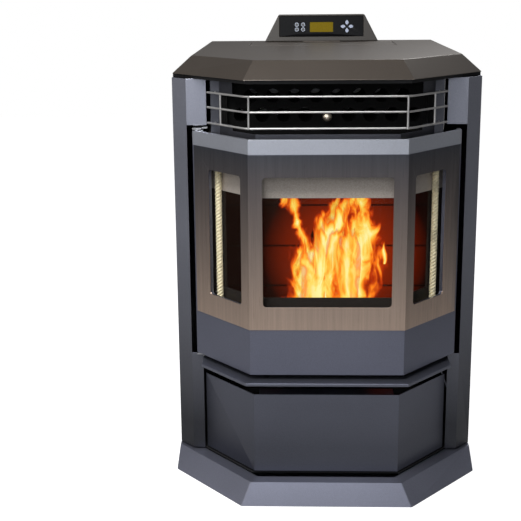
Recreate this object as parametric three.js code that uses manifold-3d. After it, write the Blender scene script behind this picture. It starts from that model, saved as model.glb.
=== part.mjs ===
// A free-standing pellet stove with a three-sided bay front, built as an assembly.
// Millimetres, +Z up, front toward -Y. The origin is on the floor, under the middle of the
// overall length and width. Inside the stove group y is measured from the cabinet's datum line.
import * as THREE from 'three';
import { mergeVertices } from 'three/addons/utils/BufferGeometryUtils.js';
import Module from 'manifold-3d';

const wasm = await Module();
wasm.setup();

// ---------------------------------------------------------------- driving dimensions
const FIT_GAP = 0.3;            // gap between two pieces that are fastened together
const FACET_DEG = 50;           // how far the side faces of the bay turn back from the front

const CABINET_HALF_W = 300;     // half the width over the side panels and the cap
const CABINET_BACK = 374;       // datum line to the outside of the rear panel
const SHEET = 2;                // thickness of the painted cabinet sheet

const BASE_HEIGHT = 43;         // pedestal
const BASE_WALL = 3;
const BASE_FRONT = 372;         // datum line to the toe of the pedestal
const BASE_FACET = 365;         // datum point to the toe of its slanted sides
const BASE_HALF_W = CABINET_HALF_W + 6;
const BASE_FLARE_FRONT = 17;    // how far the toe stands out beyond the pedestal's top
const BASE_FLARE_FACET = 25;
const BASE_FLARE_SIDE = 5;
const BASE_RIM = 24;            // width of the inward rim that carries the chassis plate
const CHASSIS_THICK = 3;
const CHASSIS_INSET = 4;        // the chassis plate lies back from the panels as a shadow line

const PANEL_TOP = 804;          // top edge of the side panels
const PANEL_SIDE_Y = 163;       // where the chamfer leaves the side
const PANEL_FOLD_X = CABINET_HALF_W - 30;       // where the chamfer meets the front flange
const PANEL_FRONT_Y = 196;      // plane of the front flange
const PANEL_TOP_EDGE_X = CABINET_HALF_W - 69;   // inner edge of the flange beside the air outlet
const PANEL_LOW_EDGE_X = CABINET_HALF_W - 53;   // inner edge of the flange beside the ash drawer
const PANEL_CUT_LOW = 252.5;     // the flange is cut away for the door from here
const PANEL_CUT_HIGH = 715;     // to here

const CAP_GAP = 7;              // dark joint between the panels and the cap
const CAP_HEIGHT = 34;
const CAP_BEVEL = 38;           // how far the bevel runs in
const CAP_FRONT = 330;
const CAP_FACET = 330;
const CAP_BACK = 381;
const CAP_WALL = 3;
const CAP_RETURN = 26;          // inward return along the cap's lower edge
const TOP_FRAME_INSET = 9;
const TOP_FRAME_WIDTH = 24;

const LID_HALF_W = 162;         // hopper lid
const LID_FRONT = 176;
const LID_DEPTH = 146;
const LID_THICK = 3.7;
const LID_CLEARANCE = 1.5;
const HINGE_HALF_LEN = 43;      // lid hinge
const HINGE_RADIUS = 3;
const HINGE_OFFSET = 5;         // lid's rear edge to the hinge axis
const HINGE_SLOT_GAP = 1;

const HOUSING_HALF_BASE = 133;  // control housing
const HOUSING_HALF_TOP = 101;
const HOUSING_HEIGHT = 61;
const HOUSING_FRONT = 336;
const HOUSING_BACK = 379;
const HOUSING_TILT_DEG = 10;
const KEYPAD_HALF_W = 98;
const KEYPAD_LOW = 11.5;        // up the sloping face from its foot
const KEYPAD_HIGH = 58;
const KEYPAD_THICK = 2.5;
const KEY_CLEARANCE = 0.4;
const KEY_PROUD = 1.2;
const KEY_LENGTH = 6;
const ROUND_KEY_RADIUS = 4.6;
const ROUND_KEY_X = [-58, -43.2];
const ROUND_KEY_V = [38.8, 27.6];
const CROSS_X = 59.8;           // centre of the four leaf keys
const CROSS_V = 34;
const LEAF_NEAR = 3.2;          // leaf key: from the centre of the cross
const LEAF_FAR = 15;
const LEAF_HALF_W = 4;
const LCD_HALF_W = 27.2;
const LCD_LOW = 21.8;
const LCD_HIGH = 44.6;
const BOARD_DEPTH = 8.2;        // face of the keypad panel to the circuit board
const BOARD_THICK = 1.6;

const DOOR_FRONT = 342;         // datum line to the front face of the door
const DOOR_FACET = 331;         // datum point to its slanted faces
const DOOR_HALF_W = 258;
const DOOR_BACK = 184;          // datum line forward to the back of the door's returns
const DOOR_LOW = 258;
const DOOR_HIGH = 706;
const DOOR_WALL = 8;
const WINDOW_HALF_W = 120;
const WINDOW_LOW = 391.5;
const WINDOW_HIGH = 637;
const WINDOW_CORNER = 7;
const SIDE_WINDOW_NEAR = 23;    // along the slanted face from the front corner
const SIDE_WINDOW_FAR = 124;
const TRIM_THICK = 1.2;
const TRIM_LOW = 347;
const TRIM_HIGH = 679;
const TRIM_REACH = 170;
const TRIM_OVERLAP = 2;         // the trim covers this much of the opening in the frame
const GLASS_THICK = 4;
const GLASS_LAP = 11.5;         // how far a pane lies behind the frame
const GASKET_SIZE = 14;         // rope gasket, as a square section
const GASKET_REACH = 120.5;     // its upright runs, along the slanted face
const GASKET_LOW = 373;
const GASKET_HIGH = 655;
const HINGE_PIN_X = DOOR_HALF_W - 8;
const HINGE_PIN_Y = 201.5;
const HINGE_PIN_RADIUS = 4;
const HINGE_PIN_CLEARANCE = 0.4;
const HINGE_LUG = 22;           // height of the door's hinge lugs
const HINGE_PLATE = 3;
const DOOR_SIDE_GAP = 2;        // between the door's end and a hinge plate

const LIP_FRONT = 363;          // ash lip, the front edge of the hearth plate
const LIP_FACET = 350.5;
const LIP_HALF_W = 246;
const LIP_TOP = 248;
const LIP_THICK = 6;

const DRAWER_FRONT = 318;       // ash drawer
const DRAWER_FACET = 311.5;
const DRAWER_HALF_W = 242;
const DRAWER_LOW = 50;
const DRAWER_HIGH = 209;
const DRAWER_SHEET = 2.5;
const DRAWER_LEDGE_HALF_W = 130;
const DRAWER_LEDGE = 34;
const PAN_HALF_W = 190;
const PAN_FRONT = 248;
const PAN_DEPTH = 185;
const PAN_LOW = 62;
const PAN_HIGH = 196;
const PAN_WALL = 2;
const RUNNER_WIDTH = 14;
const BAY_HALF_W = 226;         // inside half width of the ash compartment

const FACE_DEPTH = 27.2;        // firebox face: door's outer face to the plate the rope meets
const FACE_THICK = 4;
const FACE_REACH = 162.4;
const FACE_TOP = 697.5;
const FACE_OPENING_REACH = 112;
const FACE_OPENING_LOW = 402;
const FACE_OPENING_HIGH = 594;
const SHELL_HALF_W = DOOR_HALF_W - 28;       // firebox
const SHELL_WALL = 4;
const SHELL_SPLIT = 700;        // shelf under the air outlet
const SHELL_TOP = 796;
const SHELL_BACK = 50;          // datum line forward to the outside of the firebox's rear wall
const TUBE_PLATE_Y = 225;       // datum line forward to the back of the front tube plate
const ASH_HOLE_HALF_W = 150;
const ASH_HOLE_FRONT = 262;
const ASH_HOLE_BACK = 112;

const BRICK_FACE_Y = 80;        // datum line forward to the rear firebrick's face
const REAR_BRICK_THICK = 25;
const BRICK_HALF_W = SHELL_HALF_W - 17;
const BRICK_LOW = 304;
const BRICK_HIGH = 640;
const BRICK_COURSE = 86;        // one course of the moulded bricks
const BRICK_JOINT = 362.6;      // height of the lowest joint above the floor
const BRICK_GROOVE = 2.5;
const BAFFLE_LOW = 652;
const BAFFLE_THICK = 5;

const POT_Y = 190;              // burn pot
const POT_HALF_W = 62;
const POT_HALF_D = 48;
const POT_TOP = 360;
const POT_DEPTH = 66;
const POT_WALL = 5;
const POT_LIP = 12;
const SEAT_HALF_W = 84;
const SEAT_HALF_D = 66;
const SEAT_WALL = 4;
const SEAT_CLEARANCE = 1.5;

const PIPE_RADIUS = 20;         // combustion air pipe
const PIPE_WALL = 2;
const PIPE_X = -56;
const PIPE_HEIGHT = 276;
const PIPE_END = 400;

const TUBE_RADIUS = 15.5;       // heat exchanger
const TUBE_WALL = 2;
const TUBE_PITCH = 40.8;
const TUBE_ROW_HIGH = 774;
const TUBE_ROW_LOW = 738;
const TUBES_PER_ROW = 8;
const TUBE_PLATE = 3;
const SCRAPER_THICK = 3;
const SCRAPER_CLEARANCE = 1;
const SCRAPER_Y = 90;
const SCRAPER_ROD = 4;
const KNOB_RADIUS = 9;
const KNOB_Y = 262;

const SURROUND_SILL = 712;      // air outlet surround
const SURROUND_CORNER_X = 203;
const SURROUND_EDGE_X = 220;
const SURROUND_TAB_X = 177;
const NOTCH_LOW = 723;
const NOTCH_HIGH = 780;
const DUCT_HALF_W = 190;
const UPPER_HALF_W = SHELL_HALF_W - 13;         // firebox and tube plate beside the air outlet
const GRILLE_FRONT = 325;
const GRILLE_FACET = 322;
const WIRE_RADIUS = 2;
const GRILLE_ROWS = [724, 753.6, 781.6];
const GRILLE_END_X = 226;
const GRILLE_POST_X = 199;
const GRILLE_MID_X = 144;

const HOPPER_HALF_W = 226;      // pellet hopper
const HOPPER_FRONT = 60;
const HOPPER_REAR = 350;
const HOPPER_SHOULDER = PANEL_TOP - 6;
const HOPPER_KNEE = 640;
const HOPPER_WALL = 2;
const MOUTH_HALF_W = 156;
const MOUTH_FLANGE = 12;
const NECK_HALF_W = 28;
const NECK_FRONT = 184;
const NECK_REAR = 236;
const NECK_TOP = 470;

const AUGER_LOW = [270, 350];   // y and z of the auger's lower and upper end
const AUGER_HIGH = [20, 565];
const CHUTE_HIGH = [32, 572];   // drop chute
const CHUTE_LOW = [-100, 440];
const AUGER_TUBE_RADIUS = 28;
const AUGER_TUBE_WALL = 2;
const FLIGHT_RADIUS = 24.5;
const FLIGHT_THICK = 2.5;
const FLIGHT_PITCH = 42;
const AUGER_SHAFT = 8;
const SHAFT_CLEARANCE = 0.5;

const BLOWER_X = -130;          // room air blower
const BLOWER_Y = 225;
const BLOWER_Z = 150;
const BLOWER_HALF_W = 70;
const BLOWER_HALF = 80;
const DRUM_RADIUS = 58;
const EXHAUST_X = 127;          // combustion blower
const EXHAUST_Y = 225;
const EXHAUST_Z = 150;
const EXHAUST_RADIUS = 82;
const EXHAUST_HALF_W = 45;
const ROTOR_RADIUS = 66;
const BLOWER_WALL = 3;
const MOTOR_RADIUS = 36;
const MOTOR_LENGTH = 62;
const FLUE_RADIUS = 40;
const FLUE_WALL = 2;
const FLUE_Z = 190;
const FLUE_START = 312;
const FLUE_END = 441;
const INLET_X = -235;           // mains inlet
const INLET_Z = 110;

// ---------------------------------------------------------------- shapes
const SIN = Math.sin(THREE.MathUtils.degToRad(FACET_DEG));
const COS = Math.cos(THREE.MathUtils.degToRad(FACET_DEG));

function solid(geometry) {
  const bare = geometry.index ? geometry.clone() : geometry;
  bare.deleteAttribute('normal');
  bare.deleteAttribute('uv');
  const merged = mergeVertices(bare, 1e-4);
  return new wasm.Manifold(new wasm.Mesh({
    numProp: 3,
    vertProperties: new Float32Array(merged.attributes.position.array),
    triVerts: new Uint32Array(merged.index.array),
  }));
}

function join(...list) {
  return list.reduce((a, b) => a.add(b));
}

function cut(body, ...tools) {
  return tools.reduce((a, b) => a.subtract(b), body);
}

function outline(points) {
  return new THREE.Shape(points.map(([a, b]) => new THREE.Vector2(a, b)));
}

// Straight prisms along Z, Y and X. Outlines are [x, y], [x, z] and [y, z].
function prismZ(points, low, high) {
  const g = new THREE.ExtrudeGeometry(outline(points), { depth: high - low, bevelEnabled: false });
  return solid(g.translate(0, 0, low));
}

function prismY(points, front, back) {
  const g = new THREE.ExtrudeGeometry(outline(points), { depth: back - front, bevelEnabled: false });
  return solid(g.rotateX(Math.PI / 2).translate(0, back, 0));
}

function box(x0, x1, y0, y1, z0, z1) {
  const g = new THREE.BoxGeometry(x1 - x0, y1 - y0, z1 - z0);
  return solid(g.translate((x0 + x1) / 2, (y0 + y1) / 2, (z0 + z1) / 2));
}

function turned(g, from, to) {
  const a = new THREE.Vector3(...from);
  const b = new THREE.Vector3(...to);
  const q = new THREE.Quaternion().setFromUnitVectors(
    new THREE.Vector3(0, 1, 0), b.clone().sub(a).normalize());
  const mid = a.add(b).multiplyScalar(0.5);
  return g.applyQuaternion(q).translate(mid.x, mid.y, mid.z);
}

function bar(from, to, radius, sides = 16) {
  const length = Math.hypot(to[0] - from[0], to[1] - from[1], to[2] - from[2]);
  return solid(turned(new THREE.CylinderGeometry(radius, radius, length, sides), from, to));
}

function ball(x, y, z, radius, sides = 16) {
  return solid(new THREE.SphereGeometry(radius, sides, sides / 2).translate(x, y, z));
}

function rounded(x0, x1, z0, z1, r) {
  const points = [];
  const corners = [[x1 - r, z0 + r, -90], [x1 - r, z1 - r, 0], [x0 + r, z1 - r, 90], [x0 + r, z0 + r, 180]];
  for (const [cx, cz, start] of corners) {
    for (let i = 0; i <= 3; i += 1) {
      const a = THREE.MathUtils.degToRad(start + i * 30);
      points.push([cx + r * Math.cos(a), cz + r * Math.sin(a)]);
    }
  }
  return points;
}

// The bay outline from four distances: front plane, slanted planes, sides and back.
function bayCorner(front, facet) {
  return (facet - COS * front) / SIN;
}

function bay(front, facet, side, back) {
  const xf = bayCorner(front, facet);
  const ys = -(facet - SIN * side) / COS;
  return [[-xf, -front], [xf, -front], [side, ys], [side, back], [-side, back], [-side, ys]];
}

// A point on the slanted face of the door: along it from the front corner, and in from it.
function facetPoint(side, along, depth) {
  const x = bayCorner(DOOR_FRONT, DOOR_FACET) + along * COS - depth * SIN;
  const y = -DOOR_FRONT + along * SIN + depth * COS;
  return [side * x, y];
}

function strip(near, far, reach) {
  const outer = bayCorner(DOOR_FRONT - near, DOOR_FACET - near);
  const inner = bayCorner(DOOR_FRONT - far, DOOR_FACET - far);
  return [
    facetPoint(-1, reach, near), [-outer, -DOOR_FRONT + near], [outer, -DOOR_FRONT + near],
    facetPoint(1, reach, near), facetPoint(1, reach, far),
    [inner, -DOOR_FRONT + far], [-inner, -DOOR_FRONT + far], facetPoint(-1, reach, far)];
}

// A slab lying in the slanted face, with a rounded outline.
function facetSlab(side, from, to, low, high, near, far, radius) {
  const span = side > 0 ? [from, to] : [-to, -from];
  const g = new THREE.ExtrudeGeometry(outline(rounded(span[0], span[1], low, high, radius)),
    { depth: far - near, bevelEnabled: false });
  g.translate(0, 0, -far);
  const basis = new THREE.Matrix4().makeBasis(
    new THREE.Vector3(COS, side * SIN, 0), new THREE.Vector3(0, 0, 1),
    new THREE.Vector3(side * SIN, -COS, 0));
  g.applyMatrix4(basis);
  return solid(g.translate(side * bayCorner(DOOR_FRONT, DOOR_FACET), -DOOR_FRONT, 0));
}

// A solid between two outlines with the same number of corners.
function loft(lower, low, upper, high) {
  const n = lower.length;
  const xyz = [];
  for (const [x, y] of lower) xyz.push(x, y, low);
  for (const [x, y] of upper) xyz.push(x, y, high);
  const faces = [];
  for (let i = 0; i < n; i += 1) {
    const j = (i + 1) % n;
    faces.push(i, j, n + j, i, n + j, n + i);
  }
  const cap = THREE.ShapeUtils.triangulateShape(lower.map(([x, y]) => new THREE.Vector2(x, y)), []);
  for (const [a, b, c] of cap) faces.push(a, c, b, n + a, n + b, n + c);
  const g = new THREE.BufferGeometry();
  g.setAttribute('position', new THREE.Float32BufferAttribute(xyz, 3));
  g.setIndex(faces);
  return solid(g);
}

const rect = (x0, x1, y0, y1) => [[x0, y0], [x1, y0], [x1, y1], [x0, y1]];

// ---------------------------------------------------------------- materials and assembly
const paint = new THREE.MeshStandardMaterial({ color: 0x6f7580, roughness: 0.5, metalness: 0.5 });
const capPaint = new THREE.MeshStandardMaterial({ color: 0x5c544b, roughness: 0.5, metalness: 0.5 });
const brushed = new THREE.MeshStandardMaterial({ color: 0x9a938b, roughness: 0.35, metalness: 1 });
const black = new THREE.MeshStandardMaterial({ color: 0x1c1c1e, roughness: 0.7, metalness: 0.4 });
const iron = new THREE.MeshStandardMaterial({ color: 0x2a2826, roughness: 0.85, metalness: 0.5 });
const steel = new THREE.MeshStandardMaterial({ color: 0xa7abb0, roughness: 0.4, metalness: 0.9 });
const clear = new THREE.MeshStandardMaterial({ color: 0xdfe6e8, roughness: 0.05, metalness: 0 });
const brick = new THREE.MeshStandardMaterial({ color: 0xb4562b, roughness: 0.9, metalness: 0 });
const rope = new THREE.MeshStandardMaterial({ color: 0x9a8a6c, roughness: 0.95, metalness: 0 });
const gloss = new THREE.MeshStandardMaterial({ color: 0x111113, roughness: 0.15, metalness: 0 });
const amber = new THREE.MeshStandardMaterial({ color: 0xc99a1e, roughness: 0.2, metalness: 0 });
const board = new THREE.MeshStandardMaterial({ color: 0x1f6b3a, roughness: 0.6, metalness: 0 });

const product = new THREE.Group();
const stove = new THREE.Group();
stove.position.y = (BASE_FRONT - FLUE_END) / 2;
product.add(stove);

function piece(name, body, material, parent = stove) {
  const mesh = body.getMesh();
  const g = new THREE.BufferGeometry();
  g.setAttribute('position', new THREE.Float32BufferAttribute(mesh.vertProperties, 3));
  g.setIndex(new THREE.Uint32BufferAttribute(mesh.triVerts, 1));
  g.computeVertexNormals();
  const node = new THREE.Mesh(g, material);
  node.name = name;
  parent.add(node);
  return node;
}

// ---------------------------------------------------------------- base and cabinet
const baseOuterTop = [BASE_FRONT - BASE_FLARE_FRONT, BASE_FACET - BASE_FLARE_FACET,
  BASE_HALF_W - BASE_FLARE_SIDE];
const w = BASE_WALL;
const baseBody = loft(
  bay(BASE_FRONT, BASE_FACET, BASE_HALF_W, CABINET_BACK), 0,
  bay(...baseOuterTop, CABINET_BACK), BASE_HEIGHT);
const baseHollow = loft(
  bay(BASE_FRONT - w, BASE_FACET - w, BASE_HALF_W - w, CABINET_BACK - w), w,
  bay(baseOuterTop[0] - w, baseOuterTop[1] - w, baseOuterTop[2] - w, CABINET_BACK - w), BASE_HEIGHT - w);
const rimInset = w + BASE_RIM;
const baseMouth = prismZ(bay(baseOuterTop[0] - rimInset, baseOuterTop[1] - rimInset,
  baseOuterTop[2] - rimInset, CABINET_BACK - rimInset), w + 1, BASE_HEIGHT + 1);
piece('base_pedestal', cut(baseBody, baseHollow, baseMouth), paint);

const chassisLow = BASE_HEIGHT + FIT_GAP;
const chassisTop = chassisLow + CHASSIS_THICK;
const chassisSide = CABINET_HALF_W - CHASSIS_INSET;
piece('chassis_plate', prismZ(bay(CAP_FRONT - 2 * TOP_FRAME_INSET, CAP_FACET - 2 * TOP_FRAME_INSET,
  chassisSide, CABINET_BACK - CHASSIS_INSET), chassisLow, chassisTop), black);

// Side panels: one folded sheet each, with the front flange cut back where the door swings.
const panelLow = chassisTop + FIT_GAP;
const foldRun = CABINET_HALF_W - PANEL_FOLD_X;
const foldRise = PANEL_FRONT_Y - PANEL_SIDE_Y;
const foldLen = Math.hypot(foldRun, foldRise);
const miterSide = SHEET * (foldLen - foldRise) / foldRun;
const miterFront = SHEET * (foldLen - foldRun) / foldRise;
function sidePanel(side) {
  const at = (x, y) => [side * x, y];
  const points = [
    at(CABINET_HALF_W, CABINET_BACK), at(CABINET_HALF_W, -PANEL_SIDE_Y),
    at(PANEL_FOLD_X, -PANEL_FRONT_Y), at(PANEL_TOP_EDGE_X, -PANEL_FRONT_Y),
    at(PANEL_TOP_EDGE_X, -PANEL_FRONT_Y + SHEET),
    at(PANEL_FOLD_X - miterFront, -PANEL_FRONT_Y + SHEET),
    at(CABINET_HALF_W - SHEET, -PANEL_SIDE_Y + miterSide), at(CABINET_HALF_W - SHEET, CABINET_BACK)];
  const body = prismZ(side > 0 ? points.reverse() : points, panelLow, PANEL_TOP);
  const x = [side * PANEL_FOLD_X, side * (PANEL_TOP_EDGE_X - 5)].sort((a, b) => a - b);
  const low = [side * PANEL_LOW_EDGE_X, side * (PANEL_TOP_EDGE_X - 5)].sort((a, b) => a - b);
  const back = -PANEL_FRONT_Y + SHEET + 1;
  return cut(body,
    box(x[0], x[1], -PANEL_FRONT_Y - 1, back, PANEL_CUT_LOW, PANEL_CUT_HIGH),
    box(low[0], low[1], -PANEL_FRONT_Y - 1, back, panelLow - 1, PANEL_CUT_LOW + 1));
}
piece('left_side_panel', sidePanel(-1), paint);
piece('right_side_panel', sidePanel(1), paint);

const rearHalf = CABINET_HALF_W - SHEET - FIT_GAP;
const ventWidth = 6;
let rearPanel = cut(
  box(-rearHalf, rearHalf, CABINET_BACK - SHEET, CABINET_BACK, panelLow, PANEL_TOP),
  bar([EXHAUST_X, 300, FLUE_Z], [EXHAUST_X, 450, FLUE_Z], FLUE_RADIUS + 1, 32),
  bar([PIPE_X, 300, PIPE_HEIGHT], [PIPE_X, 450, PIPE_HEIGHT], PIPE_RADIUS + 1, 24),
  box(INLET_X - 14, INLET_X + 14, 300, 450, INLET_Z - 10.5, INLET_Z + 10.5));
for (let i = 0; i < 7; i += 1) {
  const x = BLOWER_X - 60 + i * 20 - ventWidth / 2;
  rearPanel = cut(rearPanel, box(x, x + ventWidth, 300, 450, BLOWER_Z - 50, BLOWER_Z + 50));
}
piece('rear_panel', rearPanel, black);

// The cap: a bevelled hood with an inward return, carried by the top frame.
const frameLow = PANEL_TOP + FIT_GAP;
const capLow = PANEL_TOP + CAP_GAP;
const capTop = capLow + CAP_HEIGHT;
const frameHigh = capLow - FIT_GAP;
const ring = (inset) => bay(CAP_FRONT - inset, CAP_FACET - inset, CABINET_HALF_W - inset, CAP_BACK - inset);
const frameOuter = bay(CAP_FRONT - TOP_FRAME_INSET, CAP_FACET - TOP_FRAME_INSET,
  CABINET_HALF_W - 0.1, CABINET_BACK);
const frameInset = TOP_FRAME_INSET + TOP_FRAME_WIDTH;
piece('top_frame', cut(prismZ(frameOuter, frameLow, frameHigh),
  prismZ(ring(frameInset), frameLow - 1, frameHigh + 1)), black);

const lidRear = LID_FRONT + LID_DEPTH;
const hingeY = lidRear + HINGE_OFFSET;
const capSlot = box(-HINGE_HALF_LEN - 1, HINGE_HALF_LEN + 1, lidRear - 1,
  hingeY + HINGE_RADIUS + HINGE_SLOT_GAP, capTop - CAP_WALL - 1, capTop + 1);
const capShell = cut(
  loft(ring(0), capLow, bay(CAP_FRONT - CAP_BEVEL, CAP_FACET - CAP_BEVEL,
    CABINET_HALF_W - CAP_BEVEL, CAP_BACK), capTop),
  loft(ring(CAP_WALL + 3), capLow + CAP_WALL, bay(CAP_FRONT - CAP_BEVEL - CAP_WALL,
    CAP_FACET - CAP_BEVEL - CAP_WALL, CABINET_HALF_W - CAP_BEVEL - CAP_WALL,
    CAP_BACK - CAP_WALL), capTop - CAP_WALL),
  prismZ(ring(CAP_RETURN + CAP_WALL), capLow - 1, capLow + CAP_WALL + 1),
  box(-LID_HALF_W - LID_CLEARANCE, LID_HALF_W + LID_CLEARANCE, LID_FRONT - LID_CLEARANCE,
    lidRear + LID_CLEARANCE, capTop - CAP_WALL - 1, capTop + 1),
  capSlot);
piece('top_cap', capShell, capPaint);

// Hopper lid, its hinge and the hopper beneath.
const lidLow = capTop - LID_THICK;
const lidEar = HINGE_HALF_LEN - 12;
const lidBody = join(
  box(-LID_HALF_W, LID_HALF_W, LID_FRONT, lidRear, lidLow, capTop),
  box(-lidEar, -lidEar + 10, lidRear - 2, hingeY, capTop - HINGE_RADIUS, capTop),
  box(lidEar - 10, lidEar, lidRear - 2, hingeY, capTop - HINGE_RADIUS, capTop));
const hingeZ = lidLow + HINGE_RADIUS;
const knuckle = (x0, x1, r) => bar([x0, hingeY, hingeZ], [x1, hingeY, hingeZ], r, 16);
const pinR = HINGE_RADIUS / 2;
piece('hopper_lid', cut(
  join(lidBody, knuckle(-lidEar, -lidEar + 10, HINGE_RADIUS), knuckle(lidEar - 10, lidEar, HINGE_RADIUS)),
  knuckle(-HINGE_HALF_LEN, HINGE_HALF_LEN, pinR + 0.4)), capPaint);
const mouthTop = lidLow - FIT_GAP;
const hingeFoot = (x0, x1) => join(knuckle(x0, x1, HINGE_RADIUS),
  box(x0, x1, hingeY - 1.2, hingeY + 1.2, mouthTop + FIT_GAP, hingeZ));
piece('lid_hinge', join(
  knuckle(-HINGE_HALF_LEN, HINGE_HALF_LEN, pinR),
  hingeFoot(-HINGE_HALF_LEN, -lidEar - 0.5), hingeFoot(-lidEar + 10.5, lidEar - 10.5),
  hingeFoot(lidEar + 0.5, HINGE_HALF_LEN)), steel);

const mouthFront = LID_FRONT + 6;
const mouthRear = lidRear - 6;
const hopperOuter = join(
  box(-HOPPER_HALF_W, HOPPER_HALF_W, HOPPER_FRONT, HOPPER_REAR, HOPPER_KNEE, HOPPER_SHOULDER),
  loft(rect(-NECK_HALF_W, NECK_HALF_W, NECK_FRONT, NECK_REAR), NECK_TOP + FIT_GAP,
    rect(-HOPPER_HALF_W, HOPPER_HALF_W, HOPPER_FRONT, HOPPER_REAR), HOPPER_KNEE),
  box(-MOUTH_HALF_W - HOPPER_WALL, MOUTH_HALF_W + HOPPER_WALL, mouthFront - HOPPER_WALL,
    mouthRear + HOPPER_WALL, HOPPER_SHOULDER - 1, mouthTop),
  box(-MOUTH_HALF_W - MOUTH_FLANGE, MOUTH_HALF_W + MOUTH_FLANGE, mouthFront - MOUTH_FLANGE,
    hingeY + HINGE_RADIUS + 2, mouthTop - HOPPER_WALL, mouthTop));
const hw = HOPPER_WALL;
const hopperInner = join(
  box(-HOPPER_HALF_W + hw, HOPPER_HALF_W - hw, HOPPER_FRONT + hw, HOPPER_REAR - hw,
    HOPPER_KNEE, HOPPER_SHOULDER - hw),
  loft(rect(-NECK_HALF_W + hw, NECK_HALF_W - hw, NECK_FRONT + hw, NECK_REAR - hw), NECK_TOP - 1,
    rect(-HOPPER_HALF_W + hw, HOPPER_HALF_W - hw, HOPPER_FRONT + hw, HOPPER_REAR - hw), HOPPER_KNEE),
  box(-MOUTH_HALF_W, MOUTH_HALF_W, mouthFront, mouthRear, HOPPER_SHOULDER - hw - 1, mouthTop + 1));
piece('hopper', cut(hopperOuter, hopperInner), steel);

// ---------------------------------------------------------------- control housing
const panelGroup = new THREE.Group();
panelGroup.position.set(0, HOUSING_FRONT, capTop + FIT_GAP);
panelGroup.rotation.x = -THREE.MathUtils.degToRad(HOUSING_TILT_DEG);
stove.add(panelGroup);
const tilt = Math.tan(THREE.MathUtils.degToRad(HOUSING_TILT_DEG));
const housingLow = capTop + FIT_GAP;
const housingHigh = housingLow + HOUSING_HEIGHT;
const sideLean = (HOUSING_HALF_BASE - HOUSING_HALF_TOP) / HOUSING_HEIGHT;
function housingForm(shrink, low, high) {
  const y0 = (z) => HOUSING_FRONT + (z - housingLow) * tilt + shrink;
  const x0 = (z) => HOUSING_HALF_BASE - (z - housingLow) * sideLean - shrink;
  return loft(rect(-x0(low), x0(low), y0(low), HOUSING_BACK - shrink), low,
    rect(-x0(high), x0(high), y0(high), HOUSING_BACK - shrink), high);
}
const toStove = new THREE.Matrix4().compose(panelGroup.position,
  new THREE.Quaternion().setFromEuler(panelGroup.rotation), new THREE.Vector3(1, 1, 1));
const faceCut = new THREE.BoxGeometry(2 * KEYPAD_HALF_W + 0.8, 16, KEYPAD_HIGH - KEYPAD_LOW + 0.8);
faceCut.translate(0, 0, (KEYPAD_LOW + KEYPAD_HIGH) / 2).applyMatrix4(toStove);
piece('control_housing', cut(housingForm(0, housingLow, housingHigh),
  housingForm(SHEET, housingLow - 1, housingHigh - SHEET), solid(faceCut)), capPaint);

const keys = [];
ROUND_KEY_V.forEach((v, row) => ROUND_KEY_X.forEach((x, column) => {
  keys.push({ name: `round_key_${1 + row * 2 + column}`, x, v, shape: null });
}));
const leaf = [[0, LEAF_NEAR], [LEAF_HALF_W, LEAF_NEAR + 5], [LEAF_HALF_W * 0.8, LEAF_FAR - 3], [0, LEAF_FAR],
  [-LEAF_HALF_W * 0.8, LEAF_FAR - 3], [-LEAF_HALF_W, LEAF_NEAR + 5]];
[['up_key', 0], ['left_key', 90], ['down_key', 180], ['right_key', 270]].forEach(([name, angle]) => {
  keys.push({ name, x: CROSS_X, v: CROSS_V, shape: angle });
});
function keyBody(key, grow, front, back) {
  if (key.shape === null) {
    return bar([key.x, front, key.v], [key.x, back, key.v], ROUND_KEY_RADIUS + grow, 20);
  }
  const a = THREE.MathUtils.degToRad(key.shape);
  const mid = (LEAF_NEAR + LEAF_FAR) / 2;
  const k = 1 + grow / LEAF_HALF_W;
  const points = leaf.map(([px, pz]) => {
    const u = px * k;
    const v = mid + (pz - mid) * (1 + 2 * grow / (LEAF_FAR - LEAF_NEAR));
    return [key.x + u * Math.cos(a) - v * Math.sin(a), key.v + u * Math.sin(a) + v * Math.cos(a)];
  });
  return prismY(points.reverse(), front, back);
}
let keypad = box(-KEYPAD_HALF_W, KEYPAD_HALF_W, 0, KEYPAD_THICK, KEYPAD_LOW, KEYPAD_HIGH);
const lcdFrom = 1;
keypad = cut(keypad, box(-LCD_HALF_W - 0.4, LCD_HALF_W + 0.4, -1, 9, LCD_LOW - 0.4, LCD_HIGH + 0.4));
for (const key of keys) keypad = cut(keypad, keyBody(key, KEY_CLEARANCE, -3, 9));
piece('keypad_panel', keypad, gloss, panelGroup);
piece('lcd_window', box(-LCD_HALF_W, LCD_HALF_W, lcdFrom, BOARD_DEPTH - FIT_GAP, LCD_LOW, LCD_HIGH),
  amber, panelGroup);
for (const key of keys) piece(key.name, keyBody(key, 0, -KEY_PROUD, KEY_LENGTH - KEY_PROUD), steel,
  panelGroup);
const post = (x, v) => bar([x, KEYPAD_THICK + FIT_GAP, v], [x, BOARD_DEPTH + 0.5, v], 2.5, 10);
piece('control_board', join(
  box(-KEYPAD_HALF_W + 4, KEYPAD_HALF_W - 4, BOARD_DEPTH, BOARD_DEPTH + BOARD_THICK, KEYPAD_LOW + 2,
    KEYPAD_HIGH - 4),
  post(-86, KEYPAD_LOW + 6), post(86, KEYPAD_LOW + 6), post(-86, KEYPAD_HIGH - 9), post(86, KEYPAD_HIGH - 9),
  box(-40, 10, BOARD_DEPTH + 1, BOARD_DEPTH + 9, 22, 40)), board, panelGroup);

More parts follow.
